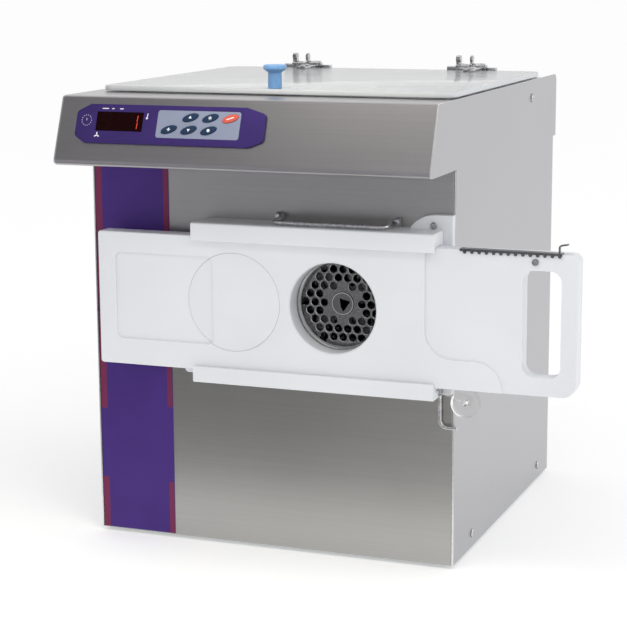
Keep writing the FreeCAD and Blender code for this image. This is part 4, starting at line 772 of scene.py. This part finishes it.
@dataclass
class ControlPanel:
    """Purple panel on the slope: display, keypad, six keys and printed marks.

    Places on the slope are pairs of millimetres: along the fascia and up the slope.
    """

    shop: Workshop
    seat: Seat
    lip: Span = (-87.0, 406.0)
    top: Span = (-60.0, 475.0)
    panel_height: float = 2.5
    key_top: float = 3.4
    key_pitch: float = 21.5
    key_ease: float = 0.35
    upper_row: Span = (146.7, 53.2)
    lower_row: Span = (124.9, 40.4)
    ink_mm: float = 0.08
    arrow_radius: float = 1.9
    dot_radius: float = 1.6
    dial: Span = (32.5, 47.8)
    dial_dots: int = 14
    dial_radius: float = 5.4
    dial_dot_radius: float = 0.42
    face_radius: float = 3.2
    line_width: float = 0.5
    hand: Span = (0.9, 2.6)
    fan: Span = (46.0, 32.6)
    fan_reach: float = 1.5
    fan_blade: Span = (3.0, 1.2)
    stem: tuple[float, ...] = (99.6, 54.0, 4.6, 0.9, 82.0)
    bulb: tuple[float, float, float] = (99.2, 51.4, 1.1)
    tick_row: float = 60.4
    tick_width: float = 0.9
    ticks: tuple[Span, ...] = ((52.0, 7.0), (60.5, 2.6), (70.0, 4.2))
    digit_u: float = 88.9
    digit_rows: Span = (43.4, 50.6)
    digit_bar: tuple[float, float, float] = (6.4, 0.8, 86.0)
    digit_depth: float = 0.4
    bezel: MouldedPlastic = MouldedPlastic(
        "bezel_purple", (0.036, 0.019, 0.122), 0.38, 700.0, 0.02, 0.05, sheen=0.22,
    )
    window: MouldedPlastic = MouldedPlastic(
        "display_red", (0.009, 0.0012, 0.0016), 0.25, 200.0, 0.0, 0.1, sheen=0.06,
    )
    keypad: MouldedPlastic = MouldedPlastic("keypad_blue_grey", (0.225, 0.25, 0.345), 0.45, sheen=0.2)
    dark_key: MouldedPlastic = MouldedPlastic("key_dark_blue", (0.016, 0.034, 0.078), 0.4, sheen=0.2)
    red_key: MouldedPlastic = MouldedPlastic("key_red", (0.58, 0.10, 0.065), 0.4, sheen=0.25)
    ink: MouldedPlastic = MouldedPlastic("white_ink", (0.72, 0.74, 0.80), 0.5)
    digit: LitSegment = LitSegment("lit_segment", (0.9, 0.06, 0.02), 0.35)
    board: MouldedPlastic = MouldedPlastic("board_green", (0.02, 0.13, 0.05), 0.4, 250.0)

    def slope(self) -> Matrix:
        """Matrix from fascia millimetres (along, up the slope, out of it) to the model's metres."""
        run, rise = self.top[0] - self.lip[0], self.top[1] - self.lip[1]
        turn = Matrix.Rotation(math.atan2(rise, run), 4, "X")
        return Matrix.Translation(self.seat.at(0.0, *self.lip)) @ turn @ Matrix.Scale(MM, 4)

    def stamp(self, form: bmesh.types.BMesh, faces: list, height: float) -> None:
        """Lifts flat faces by the ink's thickness, so that a mark is a thin solid.

        Args:
            form: the bmesh that holds the faces.
            faces: the flat faces.
            height: height of the surface that is printed on.
        """
        verts = {v for face in faces for v in face.verts}
        bmesh.ops.translate(form, vec=(0, 0, height), verts=list(verts))
        raised = bmesh.ops.extrude_face_region(form, geom=faces)["geom"]
        lifted = [g for g in raised if isinstance(g, bmesh.types.BMVert)]
        bmesh.ops.translate(form, vec=(0, 0, self.ink_mm), verts=lifted)

    def disc(
        self, form: bmesh.types.BMesh, u: float, v: float, r: float, height: float, sides: int = 20,
    ) -> None:
        """Prints a filled disc, or a triangle when it has three sides.

        Args:
            form: the bmesh to add to.
            u: place along the fascia.
            v: place up the slope.
            r: radius.
            height: height of the surface.
            sides: corners of the outline.
        """
        made = bmesh.ops.create_circle(
            form, cap_ends=True, radius=r, segments=sides, matrix=Matrix.Translation((u, v, 0)),
        )
        self.stamp(form, list({f for vert in made["verts"] for f in vert.link_faces}), height)

    def stroke(
        self, form: bmesh.types.BMesh, u: float, v: float, length: float, width: float, angle: float,
        height: float,
    ) -> None:
        """Prints a straight bar round its middle.

        Args:
            form: the bmesh to add to.
            u: middle along the fascia.
            v: middle up the slope.
            length: length of the bar.
            width: width of the bar.
            angle: direction in degrees.
            height: height of the surface.
        """
        place = Matrix.Translation((u, v, 0)) @ Matrix.Rotation(math.radians(angle), 4, "Z")
        scale = Matrix.Diagonal((length / 2, width / 2, 1.0, 1.0))
        made = bmesh.ops.create_grid(form, x_segments=1, y_segments=1, size=1.0, matrix=place @ scale)
        self.stamp(form, list({f for vert in made["verts"] for f in vert.link_faces}), height)

    def ring(
        self, form: bmesh.types.BMesh, u: float, v: float, r: float, width: float, height: float,
    ) -> None:
        """Prints a thin ring.

        Args:
            form: the bmesh to add to.
            u: middle along the fascia.
            v: middle up the slope.
            r: outer radius.
            width: width of the line.
            height: height of the surface.
        """
        made = bmesh.ops.create_circle(
            form, cap_ends=True, radius=r, segments=28, matrix=Matrix.Translation((u, v, 0)),
        )
        disc = list({f for vert in made["verts"] for f in vert.link_faces})
        bmesh.ops.inset_region(form, faces=disc, thickness=width)
        band = list({f for vert in made["verts"] for f in vert.link_faces})
        inner = [f for f in disc if f.is_valid]
        bmesh.ops.delete(form, geom=inner, context="FACES_ONLY")
        self.stamp(form, [f for f in band if f.is_valid and f not in inner], height)

    def icon(self, form: bmesh.types.BMesh, kind: Icon, u: float, v: float) -> None:
        """Prints one key's mark on its top.

        Args:
            form: the empty bmesh to fill.
            kind: which mark.
            u: middle along the fascia.
            v: middle up the slope.
        """
        strokes = {
            Icon.FROST: (3.8, 0.6, (30.0, 90.0, 150.0)),
            Icon.PLUS: (3.4, 1.0, (0.0, 90.0)),
            Icon.BAR: (8.0, 1.0, (18.0,)),
        }
        if kind in strokes:
            length, width, angles = strokes[kind]
            for angle in angles:
                self.stroke(form, u, v, length, width, angle, self.key_top)
        elif kind is Icon.DOT:
            self.disc(form, u, v, self.dot_radius, self.key_top)
        else:
            self.disc(form, 0.0, 0.0, self.arrow_radius, self.key_top, 3)
            turn = math.pi if kind is Icon.DOWN else 0.0
            place = Matrix.Translation((u, v, 0)) @ Matrix.Rotation(turn, 4, "Z")
            bmesh.ops.transform(form, matrix=place, verts=form.verts)

    def printed(self, name: str, form: bmesh.types.BMesh, node: str, look: object, slot: str) -> None:
        """Moves a printed shape onto the slope and lets it ride with a node.

        Args:
            name: the piece's name.
            form: the shape in fascia millimetres.
            node: the node whose body it rides on.
            look: its finish.
            slot: its material slot.
        """
        bmesh.ops.transform(form, matrix=self.slope(), verts=form.verts)
        bmesh.ops.recalc_face_normals(form, faces=form.faces)
        self.shop.add_to(self.shop.piece(name, form, look), node, slot)

    def keys(self) -> None:
        """Rounds the six keys and prints a plain mark on each."""
        marks = {
            "key_upper_left": Icon.UP, "key_upper_middle": Icon.FROST, "key_upper_right": Icon.BAR,
            "key_lower_left": Icon.PLUS, "key_lower_middle": Icon.DOWN, "key_lower_right": Icon.DOT,
        }
        for number, (node, mark) in enumerate(marks.items()):
            start_u, v = self.upper_row if "upper" in node else self.lower_row
            u = start_u + (number % 3) * self.key_pitch
            look = self.red_key if mark is Icon.BAR else self.dark_key
            self.shop.eased(node, node + "_cap", look, self.key_ease)
            form = bmesh.new()
            self.icon(form, mark, u, v)
            self.printed(node + "_mark", form, node, self.ink, self.shop.slot_of["keypad_plate"])

    def marks(self) -> None:
        """Prints the signs on the panel: a dial in a ring of dots, a fan, a thermometer and ticks."""
        height = self.panel_height
        form = bmesh.new()
        u, v = self.dial
        for i in range(self.dial_dots):
            turn = math.tau * i / self.dial_dots
            around = (u + self.dial_radius * math.cos(turn), v + self.dial_radius * math.sin(turn))
            self.disc(form, *around, self.dial_dot_radius, height, 8)
        self.ring(form, u, v, self.face_radius, self.line_width, height)
        self.stroke(form, u, v + self.hand[0], self.hand[1], self.line_width, 90.0, height)
        u, v = self.fan
        for angle in (90.0, 210.0, 330.0):
            turn = math.radians(angle)
            around = (u + self.fan_reach * math.cos(turn), v + self.fan_reach * math.sin(turn))
            self.stroke(form, *around, *self.fan_blade, angle, height)
        self.stroke(form, *self.stem, height)
        self.disc(form, *self.bulb, height)
        for u, length in self.ticks:
            self.stroke(form, u, self.tick_row, length, self.tick_width, 0.0, height)
        self.printed("panel_marks", form, "control_bezel", self.ink, self.shop.slot_of["keypad_plate"])

    def reading(self) -> None:
        """Sets one lit digit behind the display's surface."""
        form = bmesh.new()
        for v in self.digit_rows:
            self.stroke(form, self.digit_u, v, *self.digit_bar, self.panel_height - self.digit_depth)
        slot = self.shop.slot_of["display_window"]
        self.printed("display_digit", form, "display_window", self.digit, slot)

    def build(self) -> None:
        """Builds the panel."""
        self.shop.eased("control_bezel", "bezel_moulding", self.bezel, 0.9, 3)
        self.shop.dress(self.window, "display_window")
        self.shop.eased("keypad_plate", "keypad_face", self.keypad, 0.2, 1)
        self.shop.dress(self.board, "control_board")
        self.keys()
        self.marks()
        self.reading()


@dataclass
class DrawerBlock:
    """White sliding drawer, its guide block and the bright small parts on it."""

    shop: Workshop
    white: MilledPlastic = MilledPlastic("white_polyethylene", (0.775, 0.79, 0.82))
    # The wire's high contrast dapples it dark and bright: a painted reflection.
    bright: PolishedMetal = PolishedMetal("wire_steel", (0.62, 0.62, 0.63), 0.13, contrast=0.3)
    # The rack's dark tint, far below bare steel, paints in the shadow its teeth cast on the white plate.
    dark: PolishedMetal = PolishedMetal("rack_steel", (0.17, 0.17, 0.18), 0.28)
    # The bolts' high contrast dapples their heads dark and bright: a painted reflection.
    bolt: PolishedMetal = PolishedMetal("bolt_steel", (0.42, 0.42, 0.43), 0.18, 900.0, contrast=0.5)
    clear: ClearPlate = ClearPlate("roller_plastic", (0.97, 0.965, 0.96), 0.12, 1.0, 1.07)

    def build(self) -> None:
        """Rounds and dresses the block's pieces."""
        for node, name, look, radius, segments in (
            ("back_board", "white_back_board", self.white, 0.8, 3),
            ("guide_block", "white_guide_block", self.white, 0.9, 3),
            ("wear_strip", "white_wear_strip", self.white, 0.6, 3),
            ("drawer", "white_drawer", self.white, 0.9, 3),
            ("mould_disc", "white_mould_disc", self.white, 0.5, 3),
            ("handle_lugs", "handle_lug_pair", self.bright, 0.4, 2),
            ("roller_arm", "roller_bracket", self.clear, 0.3, 2),
            ("ear_screw", "ear_screw_head", self.bolt, 0.25, 2),
            ("drawer_screw", "drawer_screw_head", self.bolt, 0.25, 2),
            ("adjusting_rack", "notched_rack", self.dark, 0.15, 1),
        ):
            self.shop.eased(node, name, look, radius, segments)
        self.shop.dress(self.clear, "support_roller")
        self.shop.dress(self.bright, "carry_handle", "lock_wire")


@dataclass
class GrinderHead:
    """Barrel, ring nut, perforated plate, knife and worm, and the tray that feeds them."""

    shop: Workshop
    ring: PolishedMetal = PolishedMetal("ring_steel", (0.42, 0.42, 0.42), 0.14)
    # The plate's high contrast dapples its face dark and bright: a painted reflection.
    plate: PolishedMetal = PolishedMetal("plate_steel", (0.31, 0.31, 0.315), 0.2, 500.0, contrast=0.3)
    # The knife's tint is darker than bare steel so that the plate's holes read dark: painted shade in the
    # holes.
    blade: PolishedMetal = PolishedMetal("knife_steel", (0.22, 0.22, 0.225), 0.14)
    tinned: PolishedMetal = PolishedMetal("tinned_casting", (0.34, 0.34, 0.35), 0.32, 160.0, 0.06)
    scroll: PolishedMetal = PolishedMetal("worm_casting", (0.26, 0.26, 0.27), 0.18, 160.0, 0.03)
    pressed: BrushedSteel = BrushedSteel("tray_steel", (0.62, 0.62, 0.63), Grain.ALONG_X, 0.3)
    # Bright steel for the holes' chamfers and the journal's ring: a painted highlight.
    painted_rim_highlight: PolishedMetal = PolishedMetal("painted_rim_highlight", (0.85, 0.85, 0.85), 0.1)
    # A near-black sheet for the journal's socket: painted shade.
    painted_socket_shade: MouldedPlastic = MouldedPlastic("socket_shade", (0.022, 0.022, 0.023), 0.5, sheen=0.2)
    hole_lean: Span = (0.3, 0.9)
    rim_radii: Span = (10.5, 11.7)
    rim_bevel: float = 0.2
    rim_span: Span = (-0.1, 0.3)
    socket: tuple[Span, ...] = ((-3.0, 5.5), (8.5, 2.5), (1.0, -8.0), (-2.0, -3.0))
    socket_depth: float = 2.0
    socket_thick: float = 0.1

    def journal(self) -> None:
        """Puts a bright turned ring round the worm's front journal, a painted highlight, and lays a dark
        sheet in its socket, a painted shade.
        """
        low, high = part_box("perforated_plate")
        centre = Vector(((low.x + high.x) / 2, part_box("worm")[0].y, (low.z + high.z) / 2))
        inner, outer = self.rim_radii
        front, back = self.rim_span
        outline = [
            (outer, back), (outer - self.rim_bevel, front), (inner + self.rim_bevel, front),
            (inner, back), (outer, back),
        ]
        highlight_rim = self.shop.turned("journal_rim_highlight", outline, centre, BACKWARDS, self.painted_rim_highlight)
        slot = self.shop.slot_of["worm"]
        self.shop.add_to(highlight_rim, "worm", slot)
        # A dark sheet at the socket's floor: painted shade in the recess.
        form = bmesh.new()
        corners = [form.verts.new(centre + Vector((x, self.socket_depth, z)) * MM) for x, z in self.socket]
        floor = form.faces.new(corners)
        bmesh.ops.solidify(form, geom=[floor], thickness=self.socket_thick * MM)
        bmesh.ops.recalc_face_normals(form, faces=form.faces)
        self.shop.add_to(self.shop.piece("journal_socket_shade", form, self.painted_socket_shade), "worm", slot)

    def build(self) -> None:
        """Dresses the grinder's pieces."""
        self.shop.eased("ring_nut", "clamp_ring", self.ring, 0.5)
        face = self.shop.eased("perforated_plate", "plate_face", self.plate, 0.6, 1)
        # The holes' chamfers take the bright steel: a painted highlight on each hole's edge.
        self.shop.tip_faces(face, self.painted_rim_highlight, BACKWARDS, self.hole_lean)
        self.journal()
        self.shop.dress(self.blade, "knife")
        self.shop.dress(self.scroll, "worm")
        self.shop.dress(self.tinned, "grinder_barrel")
        self.shop.dress(self.pressed, "meat_tray", "feed_throat")


@dataclass
class Drive:
    """Gearbox, gears, motor and its stand."""

    shop: Workshop
    cast: PolishedMetal = PolishedMetal("cast_aluminium", (0.52, 0.53, 0.54), 0.5, 140.0, 0.08)
    gear: PolishedMetal = PolishedMetal("gear_steel", (0.35, 0.35, 0.36), 0.28, 220.0)
    enamel: MouldedPlastic = MouldedPlastic("motor_enamel", (0.13, 0.15, 0.17), 0.4, 240.0, 0.05)
    zinc: PolishedMetal = PolishedMetal("stand_zinc", (0.48, 0.50, 0.51), 0.45, 90.0)

    def build(self) -> None:
        """Dresses the drive's pieces."""
        self.shop.dress(self.cast, "gearbox_housing", "gearbox_cover")
        self.shop.dress(self.gear, "output_gear", "motor_shaft")
        self.shop.dress(self.enamel, "motor")
        self.shop.dress(self.zinc, "motor_stand")


@dataclass
class CoolingUnit:
    """Compressor, condenser with its fan, coil under the tray, pipes and the cable gland."""

    shop: Workshop
    enamel: MouldedPlastic = MouldedPlastic(
        "compressor_enamel", (0.016, 0.016, 0.018), 0.3, 180.0, 0.04, 0.1,
    )
    fins: PolishedMetal = PolishedMetal("fin_aluminium", (0.60, 0.61, 0.62), 0.35, 260.0)
    shroud: PolishedMetal = PolishedMetal("shroud_zinc", (0.50, 0.52, 0.53), 0.45, 90.0)
    fan: MouldedPlastic = MouldedPlastic("fan_black", (0.03, 0.03, 0.032), 0.4)
    tube: PolishedMetal = PolishedMetal("copper_tube", (0.78, 0.36, 0.21), 0.24, 200.0)
    gland: MouldedPlastic = MouldedPlastic("gland_black", (0.022, 0.022, 0.024), 0.42, 400.0)

    def build(self) -> None:
        """Dresses the cooling unit's pieces."""
        self.shop.dress(self.enamel, "compressor")
        self.shop.dress(self.fins, "condenser")
        self.shop.dress(self.shroud, "fan_shroud")
        self.shop.dress(self.fan, "fan_rotor", "fan_motor")
        self.shop.dress(self.tube, "evaporator_coil", "refrigerant_pipes")
        self.shop.eased("cable_gland", "cable_gland_body", self.gland, 0.4)


@dataclass(frozen=True)
class Lamp:
    """A round soft lamp: its place, what it is turned to, its width, its power and its colour."""

    name: str
    place: tuple[float, float, float]
    aim: tuple[float, float, float]
    size: float
    power: float
    mirrored: bool = True
    tint: Colour = (1.0, 1.0, 1.0)


@dataclass
class Studio:
    """Pale floor, grey card, soft lamps and the camera."""

    seat: Seat
    target: tuple[float, float, float] = (172.0, 200.0, 211.5)
    azimuth: float = 21.0
    elevation: float = 11.0
    roll: float = -0.33
    distance: float = 2123.0
    focal_px: float = 1860.0
    frame_px: float = 627.0
    sensor_mm: float = 36.0
    clip: Span = (0.05, 200.0)
    floor_half: float = 30.0
    floor_tint: Colour = (0.94, 0.94, 0.94)
    floor_glow: float = 0.28
    floor_roughness: float = 0.9
    room: float = 0.745
    card_size: Span = (3.4, 2.2)
    card_place: Span = (-0.9, -0.36)
    card_dark: Colour = (0.36, 0.36, 0.365)
    card_light: Colour = (0.66, 0.66, 0.665)
    card_fade: Span = (-0.4, 0.15)
    strip_tint: Colour = (0.735, 0.73, 0.785)
    strip_rise: Span = (0.26, 0.33)
    strip_fall: Span = (0.46, 0.40)
    white: Colour = (1.0, 1.0, 1.0)
    lamps: tuple[Lamp, ...] = (
        Lamp("key_lamp", (1.7, -1.6, 2.2), (0.0, 0.0, 0.24), 1.2, 6.5),
        Lamp("side_lamp", (2.8, 0.4, 0.9), (0.0, 0.0, 0.24), 1.6, 6.0),
        Lamp("floor_lamp", (0.0, -0.36, 0.7), (0.0, -0.36, 0.0), 0.3, 0.9, False, (1.0, 0.97, 0.86)),
    )

    def camera(self) -> None:
        """Sets the camera where the photograph was taken from."""
        lens = bpy.data.cameras.new("photo_camera")
        lens.sensor_width = self.sensor_mm
        lens.lens = self.focal_px / self.frame_px * self.sensor_mm
        lens.clip_start, lens.clip_end = self.clip
        eye = bpy.data.objects.new("photo_camera", lens)
        bpy.context.scene.collection.objects.link(eye)
        around, up = math.radians(self.azimuth), math.radians(self.elevation)
        back = Vector((math.sin(around) * math.cos(up), -math.cos(around) * math.cos(up), math.sin(up)))
        aim = (-back).to_track_quat("-Z", "Y").to_matrix().to_4x4()
        place = Matrix.Translation(self.seat.at(*self.target) + back * self.distance * MM)
        eye.matrix_world = place @ aim @ Matrix.Rotation(math.radians(self.roll), 4, "Z")
        bpy.context.scene.camera = eye

    def backdrop(self, name: str, form: bmesh.types.BMesh, sheet: ShaderSheet) -> bpy.types.Object:
        """Turns a bmesh in metres into an object of the studio.

        Args:
            name: the object's name.
            form: the shape, which is freed.
            sheet: its material's sheet.

        Returns:
            The new object.
        """
        mesh = bpy.data.meshes.new(name)
        form.to_mesh(mesh)
        form.free()
        mesh.materials.append(sheet.material)
        thing = bpy.data.objects.new(name, mesh)
        bpy.context.scene.collection.objects.link(thing)
        return thing

    def floor(self) -> None:
        """Lays the floor under the lowest point of the model."""
        form = bmesh.new()
        bmesh.ops.create_grid(form, x_segments=1, y_segments=1, size=self.floor_half)
        bmesh.ops.translate(form, vec=(0, 0, CAD_LOW.z), verts=form.verts)
        sheet = ShaderSheet("floor_paper")
        sheet.set(Roughness=self.floor_roughness, Base_Color=(*self.floor_tint, 1.0), Specular_IOR_Level=0.0)
        sheet.set(Emission_Color=(*self.white, 1.0), Emission_Strength=self.floor_glow)
        ground = self.backdrop("floor", form, sheet)

    def card(self) -> None:
        """Stands a grey card in front of the object, which shows in bright metal alone."""
        form = bmesh.new()
        bmesh.ops.create_grid(form, x_segments=1, y_segments=1, size=0.5)
        bmesh.ops.scale(form, vec=(*self.card_size, 1.0), verts=form.verts)
        bmesh.ops.rotate(form, matrix=Matrix.Rotation(math.pi / 2, 3, "X"), verts=form.verts)
        place = (*self.card_place, CAD_LOW.z + self.card_size[1] / 2)
        bmesh.ops.translate(form, vec=place, verts=form.verts)
        sheet = ShaderSheet("grey_card_cloth")
        sheet.set(Roughness=1.0, Specular_IOR_Level=0.0)
        axes = sheet.axes()
        cloth = sheet.blend(sheet.ramp(axes["X"], self.card_fade), self.card_dark, self.card_light)
        rise, fall = (sheet.ramp(axes["Z"], span) for span in (self.strip_rise, self.strip_fall))
        sheet.feed(sheet.blend(sheet.calc("MULTIPLY", rise, fall), cloth, self.strip_tint), "Base Color")
        card = self.backdrop("grey_card", form, sheet)
        card.visible_camera = card.visible_diffuse = False
        card.visible_transmission = card.visible_shadow = False

    def world(self) -> None:
        """Makes a white background and an even room light."""
        room = bpy.data.worlds.new("studio")
        room.use_nodes = True
        tree = room.node_tree
        light = tree.nodes["Background"]
        backing = tree.nodes.new("ShaderNodeBackground")
        for node, strength in ((light, self.room), (backing, 1.0)):
            node.inputs["Color"].default_value = (*self.white, 1.0)
            node.inputs["Strength"].default_value = strength
        rays = tree.nodes.new("ShaderNodeLightPath")
        seen = rays.outputs["Is Camera Ray"]
        for kind in ("Is Transmission Ray", "Is Glossy Ray"):
            either = tree.nodes.new("ShaderNodeMath")
            either.operation = "MAXIMUM"
            tree.links.new(seen, either.inputs[0])
            tree.links.new(rays.outputs[kind], either.inputs[1])
            seen = either.outputs[0]
        mix = tree.nodes.new("ShaderNodeMixShader")
        for source, entry in zip((seen, light.outputs[0], backing.outputs[0]), mix.inputs):
            tree.links.new(source, entry)
        tree.links.new(mix.outputs[0], tree.nodes["World Output"].inputs["Surface"])
        bpy.context.scene.world = room

    def lights(self) -> None:
        """Hangs the soft lamps, each turned to its aim."""
        for plan in self.lamps:
            data = bpy.data.lights.new(plan.name, "AREA")
            data.shape = "DISK"
            data.size = plan.size
            data.energy = plan.power
            data.color = plan.tint
            lamp = bpy.data.objects.new(plan.name, data)
            lamp.visible_glossy = plan.mirrored
            bpy.context.scene.collection.objects.link(lamp)
            lamp.location = plan.place
            lamp.rotation_mode = "QUATERNION"
            lamp.rotation_quaternion = (Vector(plan.aim) - Vector(plan.place)).to_track_quat("-Z", "Y")

    def build(self) -> None:
        """Sets up the whole studio."""
        bpy.context.scene.view_settings.view_transform = "Standard"
        self.camera()
        self.floor()
        self.card()
        self.world()
        self.lights()


def main() -> None:
    """Builds the studio and every sub-assembly in order."""
    logging.basicConfig(level=logging.INFO, format="%(name)s: %(message)s")
    seat = find_seat()
    shop = Workshop()
    Studio(seat).build()
    Cabinet(shop, seat).build()
    LidSet(shop).build()
    ControlPanel(shop, seat).build()
    DrawerBlock(shop).build()
    GrinderHead(shop).build()
    Drive(shop).build()
    CoolingUnit(shop).build()


if __name__ == "__main__":
    main()
